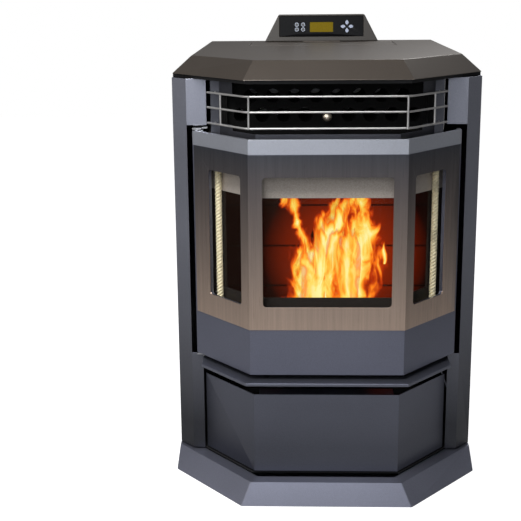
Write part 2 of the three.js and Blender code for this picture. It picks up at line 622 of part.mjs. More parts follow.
// ---------------------------------------------------------------- air outlet and heat exchanger
const surround = (inset) => bay(DOOR_FRONT - FACE_DEPTH - inset, DOOR_FACET - FACE_DEPTH - inset,
  SURROUND_CORNER_X, 0);
const surroundOuter = surround(0);
const flangeY = surroundOuter[2][1];
const surroundTop = frameLow - FIT_GAP;
const surroundFront = DOOR_FRONT - FACE_DEPTH;
const surroundFacet = DOOR_FACET - FACE_DEPTH;
const cornerOuter = bayCorner(surroundFront, surroundFacet);
const cornerInner = bayCorner(surroundFront - SHEET, surroundFacet - SHEET);
const innerCornerX = SURROUND_CORNER_X - SHEET * Math.tan(THREE.MathUtils.degToRad(FACET_DEG / 2));
const surroundSheet = prismZ([
  [-SURROUND_EDGE_X, -PANEL_FRONT_Y], [-SURROUND_EDGE_X, flangeY], [-SURROUND_CORNER_X, flangeY],
  [-cornerOuter, -surroundFront], [cornerOuter, -surroundFront], [SURROUND_CORNER_X, flangeY],
  [SURROUND_EDGE_X, flangeY], [SURROUND_EDGE_X, -PANEL_FRONT_Y],
  [SURROUND_EDGE_X - SHEET, -PANEL_FRONT_Y], [SURROUND_EDGE_X - SHEET, flangeY + SHEET],
  [innerCornerX, flangeY + SHEET], [cornerInner, -surroundFront + SHEET],
  [-cornerInner, -surroundFront + SHEET], [-innerCornerX, flangeY + SHEET],
  [-SURROUND_EDGE_X + SHEET, flangeY + SHEET], [-SURROUND_EDGE_X + SHEET, -PANEL_FRONT_Y],
], SHELL_SPLIT + FIT_GAP, surroundTop);
piece('outlet_surround', cut(surroundSheet,
  box(-SURROUND_TAB_X, SURROUND_TAB_X, -surroundFront - 5, flangeY, SURROUND_SILL, surroundTop + 1),
  box(-SURROUND_CORNER_X + 0.6, SURROUND_CORNER_X - 0.6, -surroundFront - 5, flangeY + SHEET + 1,
    NOTCH_LOW, NOTCH_HIGH)), paint);

const shellFront = DOOR_FRONT - FACE_DEPTH - FACE_THICK - FIT_GAP;
const shellFacet = DOOR_FACET - FACE_DEPTH - FACE_THICK - FIT_GAP;
const ductFront = surroundFront - FACE_THICK - FIT_GAP;
const ductFacet = surroundFacet - FACE_THICK - FIT_GAP;
const ductSheet = 2;
const ductTop = surroundTop - 1;
const tubePlateFront = TUBE_PLATE_Y + FIT_GAP + TUBE_PLATE;
const ductBack = -tubePlateFront - FIT_GAP;
piece('outlet_duct', cut(
  prismZ(bay(ductFront, ductFacet, DUCT_HALF_W, ductBack), SHELL_SPLIT + FIT_GAP, ductTop),
  box(-DUCT_HALF_W + ductSheet, DUCT_HALF_W - ductSheet, -ductFront - 5, ductBack + 1,
    SHELL_SPLIT - 1, ductTop - ductSheet)), black);

// Grille: three bent rods with short uprights, pegged back to the surround.
const rodCorner = bayCorner(GRILLE_FRONT, GRILLE_FACET);
const rodY = (x) => -(GRILLE_FACET - SIN * x) / COS;
const grilleParts = [];
for (const z of GRILLE_ROWS) {
  grilleParts.push(bar([-rodCorner, -GRILLE_FRONT, z], [rodCorner, -GRILLE_FRONT, z], WIRE_RADIUS, 8));
  for (const side of [-1, 1]) {
    grilleParts.push(ball(side * rodCorner, -GRILLE_FRONT, z, WIRE_RADIUS, 8));
    grilleParts.push(bar([side * rodCorner, -GRILLE_FRONT, z],
      [side * GRILLE_END_X, rodY(GRILLE_END_X), z], WIRE_RADIUS, 8));
  }
}
const gLow = GRILLE_ROWS[0];
const gHigh = GRILLE_ROWS[GRILLE_ROWS.length - 1];
for (const side of [-1, 1]) {
  const px = side * GRILLE_POST_X;
  const py = rodY(GRILLE_POST_X);
  grilleParts.push(bar([px, py, gLow], [px, py, gHigh], WIRE_RADIUS, 8));
  grilleParts.push(bar([side * GRILLE_MID_X, -GRILLE_FRONT, gLow], [side * GRILLE_MID_X, -GRILLE_FRONT,
    gHigh],
    WIRE_RADIUS, 8));
  const reach = GRILLE_FACET - surroundFacet - 0.4;
  const pegX = GRILLE_POST_X + 12;
  const pegY = rodY(pegX);
  for (const z of [gLow, gHigh]) {
    grilleParts.push(bar([side * pegX, pegY, z],
      [side * (pegX - 0), flangeY - 0.4, z], WIRE_RADIUS, 8));
  }
}
piece('outlet_grille', join(...grilleParts), steel);

// Heat exchanger: two tube plates and the tubes between them.
const rearPlate = SHELL_BACK - FIT_GAP;
const tubes = [];
for (let i = 0; i < TUBES_PER_ROW; i += 1) {
  tubes.push([(i - (TUBES_PER_ROW - 1) / 2) * TUBE_PITCH, TUBE_ROW_HIGH]);
  const step = i - TUBES_PER_ROW / 2;
  tubes.push([(step >= 0 ? step + 1 : step) * TUBE_PITCH, TUBE_ROW_LOW]);
}
const exchangerHalf = UPPER_HALF_W;
let exchanger = join(
  box(-exchangerHalf, exchangerHalf, -tubePlateFront, -TUBE_PLATE_Y - FIT_GAP, SHELL_SPLIT + FIT_GAP,
    SHELL_TOP),
  box(-200, 200, -rearPlate, -rearPlate + TUBE_PLATE, 708, SHELL_TOP));
for (const [x, z] of tubes) {
  exchanger = exchanger.add(bar([x, -tubePlateFront + 1, z], [x, -rearPlate + 1, z], TUBE_RADIUS, 12));
}
for (const [x, z] of tubes) {
  exchanger = exchanger.subtract(bar([x, -tubePlateFront - 2, z], [x, -rearPlate + TUBE_PLATE + 2, z],
    TUBE_RADIUS - TUBE_WALL, 12));
}
const rodHole = bar([0, -tubePlateFront - 2, TUBE_ROW_LOW], [0, -TUBE_PLATE_Y + 2, TUBE_ROW_LOW],
  SCRAPER_ROD + SHAFT_CLEARANCE, 12);
piece('heat_exchanger', exchanger.subtract(rodHole), iron);

let scraper = box(-205, 205, -SCRAPER_Y, -SCRAPER_Y + SCRAPER_THICK, 718, 791.6);
for (const [x, z] of tubes) {
  scraper = scraper.subtract(bar([x, -SCRAPER_Y - 2, z], [x, -SCRAPER_Y + SCRAPER_THICK + 2, z],
    TUBE_RADIUS + SCRAPER_CLEARANCE, 12));
}
piece('tube_scraper', join(scraper,
  bar([0, -KNOB_Y, TUBE_ROW_LOW], [0, -SCRAPER_Y + 1, TUBE_ROW_LOW], SCRAPER_ROD, 12),
  ball(0, -KNOB_Y, TUBE_ROW_LOW, KNOB_RADIUS, 16)), steel);

// ---------------------------------------------------------------- firebox
const shellLow = LIP_TOP + FIT_GAP;
const s = SHELL_WALL;
const shellInnerHalf = SHELL_HALF_W - s;
const upperInner = UPPER_HALF_W - s;
const shellBody = cut(join(
  prismZ(bay(shellFront, shellFacet, SHELL_HALF_W, -SHELL_BACK), shellLow, SHELL_SPLIT),
  box(-UPPER_HALF_W, UPPER_HALF_W, -TUBE_PLATE_Y, -SHELL_BACK, SHELL_SPLIT - 2, SHELL_TOP)),
prismZ(bay(shellFront + 9, shellFacet + 9, shellInnerHalf, -SHELL_BACK - s), shellLow + s, SHELL_SPLIT - s),
box(-upperInner, upperInner, -TUBE_PLATE_Y + s, -SHELL_BACK - s, SHELL_SPLIT - s - 1, SHELL_TOP - s),
box(-upperInner, upperInner, -TUBE_PLATE_Y - 1, -TUBE_PLATE_Y + s + 1, SHELL_SPLIT, SHELL_TOP - s));
const chuteCut = (radius) => bar([0, ...CHUTE_HIGH], [0, CHUTE_LOW[0] - 40, CHUTE_LOW[1] - 40], radius, 20);
const brickShelf = SHELL_BACK + s + FIT_GAP;
const ledgeLow = BRICK_LOW - 5;
const ledgeHigh = BRICK_LOW - FIT_GAP;
const ledges = join(
  box(-shellInnerHalf - 1, shellInnerHalf + 1, -brickShelf - 25, -SHELL_BACK - 1, ledgeLow, ledgeHigh),
  box(-shellInnerHalf - 1, -BRICK_HALF_W, -PANEL_FRONT_Y + 4, -brickShelf - 24, ledgeLow, ledgeHigh),
  box(BRICK_HALF_W, shellInnerHalf + 1, -PANEL_FRONT_Y + 4, -brickShelf - 24, ledgeLow, ledgeHigh));
const shellNode = cut(join(shellBody, ledges),
  box(-193, 193, -SHELL_BACK - s - 1, -SHELL_BACK + 1, 716, 791.5),
  bar([PIPE_X, -120, PIPE_HEIGHT], [PIPE_X, 0, PIPE_HEIGHT], PIPE_RADIUS + 0.8, 20),
  bar([EXHAUST_X, -120, 300], [EXHAUST_X, 0, 300], 26, 20),
  box(-ASH_HOLE_HALF_W, -SEAT_HALF_W - 6, -ASH_HOLE_FRONT, -ASH_HOLE_BACK, shellLow - 1, shellLow + s + 1),
  box(SEAT_HALF_W + 6, ASH_HOLE_HALF_W, -ASH_HOLE_FRONT, -ASH_HOLE_BACK, shellLow - 1, shellLow + s + 1),
  chuteCut(AUGER_TUBE_RADIUS + 1));
piece('firebox_shell', shellNode, iron);

const faceNear = FACE_DEPTH;
const faceFar = FACE_DEPTH + FACE_THICK;
piece('firebox_face', cut(
  prismZ(strip(faceNear, faceFar, FACE_REACH), LIP_TOP + FIT_GAP, FACE_TOP),
  prismZ(strip(faceNear - 2, faceFar + 2, FACE_OPENING_REACH), FACE_OPENING_LOW, FACE_OPENING_HIGH)),
new THREE.MeshStandardMaterial({ color: 0x6b6862, roughness: 0.8, metalness: 0.3 }));

// Moulded firebricks: one rear slab with course joints and two side slabs.
const rearFace = -BRICK_FACE_Y;
let rearBrick = box(-BRICK_HALF_W + 0.3, BRICK_HALF_W - 0.3, rearFace, rearFace + REAR_BRICK_THICK,
  BRICK_LOW, BRICK_HIGH);
for (let z = BRICK_JOINT; z < BRICK_HIGH; z += BRICK_COURSE) {
  rearBrick = cut(rearBrick, box(-BRICK_HALF_W, BRICK_HALF_W, rearFace - 1, rearFace + BRICK_GROOVE,
    z - BRICK_GROOVE / 2, z + BRICK_GROOVE / 2));
}
piece('rear_firebrick', cut(rearBrick, chuteCut(AUGER_TUBE_RADIUS + 1)), brick);
function sideBrick(side) {
  const x = [side * BRICK_HALF_W, side * (shellInnerHalf - FIT_GAP)].sort((a, b) => a - b);
  let body = box(x[0], x[1], -PANEL_FRONT_Y + 4, -SHELL_BACK - s - FIT_GAP, BRICK_LOW, BRICK_HIGH);
  for (let z = BRICK_JOINT; z < BRICK_HIGH; z += BRICK_COURSE) {
    const g = [side * (BRICK_HALF_W - 1), side * (BRICK_HALF_W + BRICK_GROOVE)].sort((a, b) => a - b);
    body = cut(body, box(g[0], g[1], -PANEL_FRONT_Y, 0, z - BRICK_GROOVE / 2, z + BRICK_GROOVE / 2));
  }
  return body;
}
piece('left_firebrick', sideBrick(-1), brick);
piece('right_firebrick', sideBrick(1), brick);
piece('baffle_plate', join(
  box(-shellInnerHalf + 0.5, shellInnerHalf - 0.5, -PANEL_FRONT_Y + 10, -brickShelf, BAFFLE_LOW,
    BAFFLE_LOW + BAFFLE_THICK),
  box(-shellInnerHalf + 1, -shellInnerHalf + 9, -PANEL_FRONT_Y + 10, -brickShelf, BRICK_HIGH + FIT_GAP,
    BAFFLE_LOW + 1),
  box(shellInnerHalf - 9, shellInnerHalf - 1, -PANEL_FRONT_Y + 10, -brickShelf, BRICK_HIGH + FIT_GAP,
    BAFFLE_LOW + 1)), iron);

// Burn pot in its seat, with the igniter and the combustion air pipe.
const floorTop = shellLow + s;
const seatTop = POT_TOP - POT_LIP - 6;
const seatLow = floorTop + FIT_GAP;
const potBottom = POT_TOP - POT_DEPTH;
const px = POT_HALF_W;
const py = POT_HALF_D;
const c = SEAT_CLEARANCE;
let seat = cut(
  box(-SEAT_HALF_W, SEAT_HALF_W, -POT_Y - SEAT_HALF_D, -POT_Y + SEAT_HALF_D, seatLow, seatTop),
  box(-SEAT_HALF_W + SEAT_WALL, SEAT_HALF_W - SEAT_WALL, -POT_Y - SEAT_HALF_D + SEAT_WALL,
    -POT_Y + SEAT_HALF_D - SEAT_WALL, seatLow + SEAT_WALL, seatTop - SEAT_WALL),
  box(-px - c, px + c, -POT_Y - py - c, -POT_Y + py + c, seatTop - SEAT_WALL - 1, seatTop + 1),
  bar([PIPE_X, -POT_Y, PIPE_HEIGHT], [PIPE_X, 0, PIPE_HEIGHT], PIPE_RADIUS - PIPE_WALL, 20),
  bar([34, -POT_Y, PIPE_HEIGHT + 22], [34, 0, PIPE_HEIGHT + 22], 6.5, 12));
piece('burn_pot_seat', seat, iron);
const lip = 10;
let pot = cut(join(
  box(-px, px, -POT_Y - py, -POT_Y + py, potBottom, POT_TOP),
  box(-px - lip, px + lip, -POT_Y - py - lip, -POT_Y + py + lip, seatTop + FIT_GAP, seatTop + FIT_GAP + 4)),
box(-px + POT_WALL, px - POT_WALL, -POT_Y - py + POT_WALL, -POT_Y + py - POT_WALL,
  potBottom + POT_WALL, POT_TOP + 1));
for (let i = -2; i <= 2; i += 1) {
  for (let j = -1; j <= 1; j += 1) {
    pot = cut(pot, bar([i * 20, -POT_Y + j * 24, potBottom - 1], [i * 20, -POT_Y + j * 24,
      potBottom + POT_WALL + 1], 3, 8));
  }
}
piece('burn_pot', pot, iron);
const seatBack = -POT_Y + SEAT_HALF_D;
piece('igniter', join(
  bar([34, seatBack - 18, PIPE_HEIGHT + 22], [34, seatBack + 26, PIPE_HEIGHT + 22], 5.5, 12),
  bar([34, seatBack + FIT_GAP, PIPE_HEIGHT + 22], [34, seatBack + 6, PIPE_HEIGHT + 22], 9, 12)), steel);
piece('air_intake_pipe', cut(
  bar([PIPE_X, seatBack + FIT_GAP, PIPE_HEIGHT], [PIPE_X, PIPE_END, PIPE_HEIGHT], PIPE_RADIUS, 20),
  bar([PIPE_X, seatBack - 9, PIPE_HEIGHT], [PIPE_X, PIPE_END + 9, PIPE_HEIGHT],
    PIPE_RADIUS - PIPE_WALL, 20)), steel);

// ---------------------------------------------------------------- pellet feed
const axisOf = (a, b) => {
  const v = [b[0] - a[0], b[1] - a[1]];
  const n = Math.hypot(...v);
  return [v[0] / n, v[1] / n];
};
const [ay, az] = axisOf(AUGER_LOW, AUGER_HIGH);
const onAuger = (t) => [0, AUGER_LOW[0] + ay * t, AUGER_LOW[1] + az * t];
const augerLength = Math.hypot(AUGER_HIGH[0] - AUGER_LOW[0], AUGER_HIGH[1] - AUGER_LOW[1]);
const boreR = AUGER_TUBE_RADIUS - AUGER_TUBE_WALL;
const neckWall = AUGER_TUBE_WALL;
const neckY = (NECK_FRONT + NECK_REAR) / 2;
const neckZ = AUGER_LOW[1] + (AUGER_LOW[0] - neckY) * -az / ay;
const tubeNode = cut(join(
  bar(onAuger(0), onAuger(augerLength), AUGER_TUBE_RADIUS, 20),
  bar([0, ...CHUTE_HIGH], [0, ...CHUTE_LOW], AUGER_TUBE_RADIUS, 20),
  box(-NECK_HALF_W, NECK_HALF_W, NECK_FRONT, NECK_REAR, neckZ, NECK_TOP)),
bar(onAuger(4), onAuger(augerLength - 4), boreR, 20),
bar([0, CHUTE_HIGH[0] - 6, CHUTE_HIGH[1] - 6], [0, CHUTE_LOW[0] - 12, CHUTE_LOW[1] - 12], boreR, 20),
box(-NECK_HALF_W + neckWall, NECK_HALF_W - neckWall, NECK_FRONT + neckWall, NECK_REAR - neckWall,
  neckZ, NECK_TOP + 1),
bar(onAuger(-2), onAuger(6), AUGER_SHAFT + SHAFT_CLEARANCE, 16),
box(-60, 60, CHUTE_LOW[0] - 60, CHUTE_LOW[0], CHUTE_LOW[1] - 60, CHUTE_LOW[1] + 60));
piece('auger_tube', tubeNode, iron);

// The screw: a shaft with a helical flight, closed at both ends.
const augerGroup = new THREE.Group();
augerGroup.position.set(...onAuger(0));
augerGroup.quaternion.setFromUnitVectors(new THREE.Vector3(0, 0, 1), new THREE.Vector3(0, ay, az));
stove.add(augerGroup);
function helix(inner, outer, thick, pitch, from, to, steps) {
  const xyz = [];
  const faces = [];
  const total = Math.round((to - from) / pitch * steps);
  for (let i = 0; i <= total; i += 1) {
    const a = i / steps * 2 * Math.PI;
    const z = from + i / steps * pitch;
    for (const [r, dz] of [[inner, 0], [outer, 0], [outer, thick], [inner, thick]]) {
      xyz.push(r * Math.cos(a), r * Math.sin(a), z + dz);
    }
  }
  for (let i = 0; i < total; i += 1) {
    for (let k = 0; k < 4; k += 1) {
      const p = i * 4 + k;
      const q = i * 4 + (k + 1) % 4;
      faces.push(p, p + 4, q, q, p + 4, q + 4);
    }
  }
  const e = total * 4;
  faces.push(0, 1, 2, 0, 2, 3, e, e + 2, e + 1, e, e + 3, e + 2);
  const g = new THREE.BufferGeometry();
  g.setAttribute('position', new THREE.Float32BufferAttribute(xyz, 3));
  g.setIndex(faces);
  return solid(g);
}
const flightFrom = 14;
const flightTo = augerLength - 34;
piece('auger_screw', join(
  bar([0, 0, -8], [0, 0, augerLength - 12], AUGER_SHAFT, 16),
  helix(AUGER_SHAFT - 1, FLIGHT_RADIUS, FLIGHT_THICK, FLIGHT_PITCH, flightFrom, flightTo, 14)), steel,
    augerGroup);
piece('auger_gearmotor', cut(join(
  box(-32, 32, -30, 34, -38, -FIT_GAP),
  bar([0, 0, -37], [0, 0, -84], 26, 20)),
bar([0, 0, -14], [0, 0, 3], AUGER_SHAFT + SHAFT_CLEARANCE, 16)), black, augerGroup);

// ---------------------------------------------------------------- blowers and flue
// A squirrel-cage rotor: back disc, front ring and blades round a hub, all along X.
function rotor(x0, x1, y, z, radius, blades, hub) {
  const parts = [
    bar([x0, y, z], [x0 + 3, y, z], radius, 28), bar([x0, y, z], [x1 - 6, y, z], hub, 14),
    cut(bar([x1 - 3, y, z], [x1, y, z], radius, 28), bar([x1 - 5, y, z], [x1 + 2, y, z], radius - 12, 28))];
  for (let i = 0; i < blades; i += 1) {
    const a = i / blades * 2 * Math.PI;
    const g = new THREE.BoxGeometry(x1 - x0 - 2, 1.6, 11);
    g.translate(0, 0, radius - 7).rotateX(a).translate((x0 + x1) / 2, y, z);
    parts.push(solid(g));
  }
  return join(...parts);
}
const b = BLOWER_WALL;
const blowerLow = chassisTop + FIT_GAP;
const bx = [BLOWER_X - BLOWER_HALF_W, BLOWER_X + BLOWER_HALF_W];
piece('room_blower_housing', cut(join(
  box(bx[0], bx[1], BLOWER_Y - BLOWER_HALF, BLOWER_Y + BLOWER_HALF, blowerLow, BLOWER_Z + BLOWER_HALF),
  bar([bx[1] - 1, BLOWER_Y, BLOWER_Z], [bx[1] + 34, BLOWER_Y, BLOWER_Z], MOTOR_RADIUS, 20)),
box(bx[0] + b, bx[1] - b, BLOWER_Y - BLOWER_HALF + b, BLOWER_Y + BLOWER_HALF - b, blowerLow + b,
  BLOWER_Z + BLOWER_HALF - b),
box(bx[0] + 15, bx[1] - 15, BLOWER_Y - BLOWER_HALF + 8, BLOWER_Y - 10, BLOWER_Z + 40,
  BLOWER_Z + BLOWER_HALF + 1),
bar([bx[0] - 1, BLOWER_Y, BLOWER_Z], [bx[0] + b + 1, BLOWER_Y, BLOWER_Z], 44, 24),
bar([bx[1] - b - 1, BLOWER_Y, BLOWER_Z], [bx[1] + 12, BLOWER_Y, BLOWER_Z], 5 + SHAFT_CLEARANCE, 14)), black);
piece('room_blower_rotor', join(
  rotor(bx[0] + 12, bx[1] - 14, BLOWER_Y, BLOWER_Z, DRUM_RADIUS, 14, 9),
  bar([bx[1] - 22, BLOWER_Y, BLOWER_Z], [bx[1] + 8, BLOWER_Y, BLOWER_Z], 5, 14)), steel);

const ex = [EXHAUST_X - EXHAUST_HALF_W, EXHAUST_X + EXHAUST_HALF_W];
const volute = (x0, x1, r, sides = 28) => bar([x0, EXHAUST_Y, EXHAUST_Z], [x1, EXHAUST_Y, EXHAUST_Z],
  r, sides);
const flue = (y0, y1, r) => bar([EXHAUST_X, y0, FLUE_Z], [EXHAUST_X, y1, FLUE_Z], r, 28);
piece('exhaust_housing', cut(join(
  volute(ex[0], ex[1], EXHAUST_RADIUS), flue(EXHAUST_Y, FLUE_START, FLUE_RADIUS),
  bar([EXHAUST_X, -SHELL_BACK + FIT_GAP, 300], [EXHAUST_X, 150, 300], 28, 20),
  bar([EXHAUST_X, 124, 300], [EXHAUST_X, 195, 195], 28, 20),
  box(ex[0] + 10, ex[1] - 10, EXHAUST_Y - 20, EXHAUST_Y + 20, blowerLow, EXHAUST_Z - EXHAUST_RADIUS + 8)),
volute(ex[0] + b, ex[1] - b, EXHAUST_RADIUS - b), flue(EXHAUST_Y, FLUE_START + 1, FLUE_RADIUS - b),
bar([EXHAUST_X, -SHELL_BACK - 5, 300], [EXHAUST_X, 140, 300], 25, 20),
bar([EXHAUST_X, 132, 288], [EXHAUST_X, 195, 195], 25, 20),
bar([ex[1] - b - 1, EXHAUST_Y, EXHAUST_Z], [ex[1] + 1, EXHAUST_Y, EXHAUST_Z], 5 + SHAFT_CLEARANCE,
  14)), iron);
piece('exhaust_rotor', join(
  rotor(ex[0] + 10, ex[1] - 10, EXHAUST_Y, EXHAUST_Z, ROTOR_RADIUS, 12, 9),
  bar([ex[1] - 20, EXHAUST_Y, EXHAUST_Z], [ex[1] + 14, EXHAUST_Y, EXHAUST_Z], 5, 14)), steel);
piece('exhaust_motor', cut(
  join(bar([ex[1] + FIT_GAP, EXHAUST_Y, EXHAUST_Z], [ex[1] + MOTOR_LENGTH, EXHAUST_Y, EXHAUST_Z],
    MOTOR_RADIUS, 20),
    box(ex[1] + 8, ex[1] + 40, EXHAUST_Y - 8, EXHAUST_Y + 8, blowerLow, EXHAUST_Z - MOTOR_RADIUS + 4)),
  bar([ex[1] - 1, EXHAUST_Y, EXHAUST_Z], [ex[1] + 18, EXHAUST_Y, EXHAUST_Z], 5 + SHAFT_CLEARANCE, 14)),
    black);
piece('flue_outlet', cut(join(flue(FLUE_START + FIT_GAP, FLUE_END, FLUE_RADIUS),
  bar([EXHAUST_X, CABINET_BACK + FIT_GAP, FLUE_Z], [EXHAUST_X, CABINET_BACK + 4, FLUE_Z],
    FLUE_RADIUS + 14, 28)),
flue(FLUE_START - 5, FLUE_END + 5, FLUE_RADIUS - FLUE_WALL)), black);
piece('mains_inlet', cut(join(
  box(INLET_X - 13.5, INLET_X + 13.5, CABINET_BACK - 24, CABINET_BACK + 1, INLET_Z - 10, INLET_Z + 10),
  box(INLET_X - 24, INLET_X + 24, CABINET_BACK + FIT_GAP, CABINET_BACK + 3, INLET_Z - 14, INLET_Z + 14)),
box(INLET_X - 12, INLET_X + 12, CABINET_BACK - 16, CABINET_BACK + 4, INLET_Z - 8, INLET_Z + 8)), gloss);

// ---------------------------------------------------------------- hearth plate, ash drawer
const lipLow = LIP_TOP - LIP_THICK;
const plateBack = -SHELL_BACK;
piece('ash_lip', cut(
  prismZ(bay(LIP_FRONT, LIP_FACET, LIP_HALF_W, plateBack), lipLow, LIP_TOP),
  box(-ASH_HOLE_HALF_W, ASH_HOLE_HALF_W, -ASH_HOLE_FRONT, -ASH_HOLE_BACK, lipLow - 1, LIP_TOP + 1)), paint);
const bayLow = chassisTop + FIT_GAP;
const bayHigh = lipLow - FIT_GAP;
const bayFront = -190;
const bayBack = plateBack;
const runnerTop = PAN_LOW - FIT_GAP;
piece('ash_compartment', join(
  box(-BAY_HALF_W - SHEET, -BAY_HALF_W, bayFront, bayBack, bayLow, bayHigh),
  box(BAY_HALF_W, BAY_HALF_W + SHEET, bayFront, bayBack, bayLow, bayHigh),
  box(-BAY_HALF_W - SHEET, BAY_HALF_W + SHEET, bayBack - SHEET, bayBack, bayLow, bayHigh),
  box(-BAY_HALF_W - 1, -PAN_HALF_W + RUNNER_WIDTH, bayFront, bayBack, runnerTop - 6, runnerTop),
  box(PAN_HALF_W - RUNNER_WIDTH, BAY_HALF_W + 1, bayFront, bayBack, runnerTop - 6, runnerTop)), black);
const panFront = -PAN_FRONT;
piece('ash_pan', cut(join(
  box(-PAN_HALF_W, PAN_HALF_W, panFront, panFront + PAN_DEPTH, PAN_LOW, PAN_HIGH),
  box(-60, 60, -DRAWER_FRONT + DRAWER_SHEET + FIT_GAP, panFront + 1, 110, 150)),
box(-PAN_HALF_W + PAN_WALL, PAN_HALF_W - PAN_WALL, panFront + PAN_WALL, panFront + PAN_DEPTH - PAN_WALL,
  PAN_LOW + PAN_WALL, PAN_HIGH + 1)), steel);
const dIn = DRAWER_SHEET;
piece('ash_drawer_front', join(cut(
  prismZ(bay(DRAWER_FRONT, DRAWER_FACET, DRAWER_HALF_W, -190), DRAWER_LOW, DRAWER_HIGH),
  prismZ(bay(DRAWER_FRONT - dIn, DRAWER_FACET - dIn, DRAWER_HALF_W + 4, -150), DRAWER_LOW - 1,
    DRAWER_HIGH + 1)),
box(-DRAWER_LEDGE_HALF_W, DRAWER_LEDGE_HALF_W, -DRAWER_FRONT + 1, -DRAWER_FRONT + DRAWER_LEDGE,
  DRAWER_HIGH - DRAWER_SHEET, DRAWER_HIGH)), paint);

// ---------------------------------------------------------------- door
const pinAt = [-HINGE_PIN_X, -HINGE_PIN_Y];
const pinBore = (z0, z1) => bar([...pinAt, z0], [...pinAt, z1], HINGE_PIN_RADIUS + HINGE_PIN_CLEARANCE, 16);
const lug = (z0, z1) => box(-DOOR_HALF_W + 1, -DOOR_HALF_W + 20, -208, -DOOR_BACK, z0, z1);
const doorInner = bay(DOOR_FRONT - DOOR_WALL, DOOR_FACET - DOOR_WALL, DOOR_HALF_W - DOOR_WALL, 0);
const doorShell = cut(
  prismZ(bay(DOOR_FRONT, DOOR_FACET, DOOR_HALF_W, -DOOR_BACK), DOOR_LOW, DOOR_HIGH),
  prismZ(doorInner, DOOR_LOW - 1, DOOR_HIGH + 1));
const o = TRIM_OVERLAP;
const frontWindow = prismY(rounded(-WINDOW_HALF_W - o, WINDOW_HALF_W + o, WINDOW_LOW - o, WINDOW_HIGH + o,
  WINDOW_CORNER), -DOOR_FRONT - 3, -DOOR_FRONT + DOOR_WALL + 3);
const sideWindow = (side, grow) => facetSlab(side, SIDE_WINDOW_NEAR - grow, SIDE_WINDOW_FAR + grow,
  WINDOW_LOW - grow, WINDOW_HIGH + grow, -3, DOOR_WALL + 3, WINDOW_CORNER);
piece('door_frame', cut(
  join(doorShell, lug(DOOR_LOW, DOOR_LOW + HINGE_LUG), lug(DOOR_HIGH - HINGE_LUG, DOOR_HIGH)),
  frontWindow, sideWindow(-1, o), sideWindow(1, o),
  pinBore(DOOR_LOW - 1, DOOR_LOW + HINGE_LUG + 1), pinBore(DOOR_HIGH - HINGE_LUG - 1, DOOR_HIGH + 1)), paint);
piece('door_trim', cut(
  prismZ(strip(-TRIM_THICK - FIT_GAP, -FIT_GAP, TRIM_REACH), TRIM_LOW, TRIM_HIGH),
  prismY(rounded(-WINDOW_HALF_W, WINDOW_HALF_W, WINDOW_LOW, WINDOW_HIGH, WINDOW_CORNER),
    -DOOR_FRONT - 9, -DOOR_FRONT + 9),
  facetSlab(-1, SIDE_WINDOW_NEAR, SIDE_WINDOW_FAR, WINDOW_LOW, WINDOW_HIGH, -9, 9, WINDOW_CORNER),
  facetSlab(1, SIDE_WINDOW_NEAR, SIDE_WINDOW_FAR, WINDOW_LOW, WINDOW_HIGH, -9, 9, WINDOW_CORNER)), brushed);
const paneNear = DOOR_WALL + FIT_GAP;
const paneFar = paneNear + GLASS_THICK;
const lap = GLASS_LAP;
piece('front_glass', prismY(rounded(-WINDOW_HALF_W - lap, WINDOW_HALF_W + lap, WINDOW_LOW - lap,
  WINDOW_HIGH + lap, 4),
  -DOOR_FRONT + paneNear, -DOOR_FRONT + paneFar), clear);
const pane = (side) => facetSlab(side, SIDE_WINDOW_NEAR - 8, SIDE_WINDOW_FAR + lap, WINDOW_LOW - lap,
  WINDOW_HIGH + lap, paneNear, paneFar, 4);
piece('left_glass', pane(-1), clear);
piece('right_glass', pane(1), clear);
const ropeNear = paneFar + 0.4;
const ropeFar = FACE_DEPTH - 0.4;
const half = GASKET_SIZE / 2;
piece('door_gasket', cut(
  prismZ(strip(ropeNear, ropeFar, GASKET_REACH + half), GASKET_LOW - half, GASKET_HIGH + half),
  prismZ(strip(ropeNear - 2, ropeFar + 2, GASKET_REACH - half), GASKET_LOW + half,
    GASKET_HIGH - half)), rope);
const plate = [[-SHELL_HALF_W - 0.4, -176], [-DOOR_HALF_W, -176], [-DOOR_HALF_W, -208],
  [-DOOR_HALF_W + 17, -208], [-DOOR_HALF_W + 17, -190], [-SHELL_HALF_W - 0.4, -190]];
function hinge(z0, pinEnd) {
  const z1 = z0 + HINGE_PLATE;
  return join(prismZ(plate, z0, z1), bar([...pinAt, (z0 + z1) / 2], [...pinAt, pinEnd],
    HINGE_PIN_RADIUS, 16));
}
piece('lower_hinge', hinge(DOOR_LOW - DOOR_SIDE_GAP - HINGE_PLATE, DOOR_LOW + HINGE_LUG - 2), steel);
piece('upper_hinge', hinge(DOOR_HIGH + DOOR_SIDE_GAP, DOOR_HIGH - HINGE_LUG + 2), steel);
piece('door_catch', join(
  box(SHELL_HALF_W + 6, DOOR_HALF_W - DOOR_WALL - FIT_GAP, -199, -188, 470, 494),
  bar([SHELL_HALF_W + 6, -193.5, 482], [SHELL_HALF_W + 1, -193.5, 482], 4, 12)), steel);

export default product;
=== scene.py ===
# %% [markdown]
# # A pellet stove with a lit fire
# The stove is a painted steel cabinet with a three-sided glazed door, a brick
# firebox, a row of warm-air tubes and an ash drawer. Its shapes and its joints
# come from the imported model, which is loaded first and then left alone. This
# script gives every piece its finish, rounds its folded edges, and makes anew
# the few pieces whose look needs finer shapes: the rope seal, the bent wires of
# the grille, the flames and the fuel in the pot.

import math
import random

import bmesh
import bpy
from mathutils import Matrix, Vector


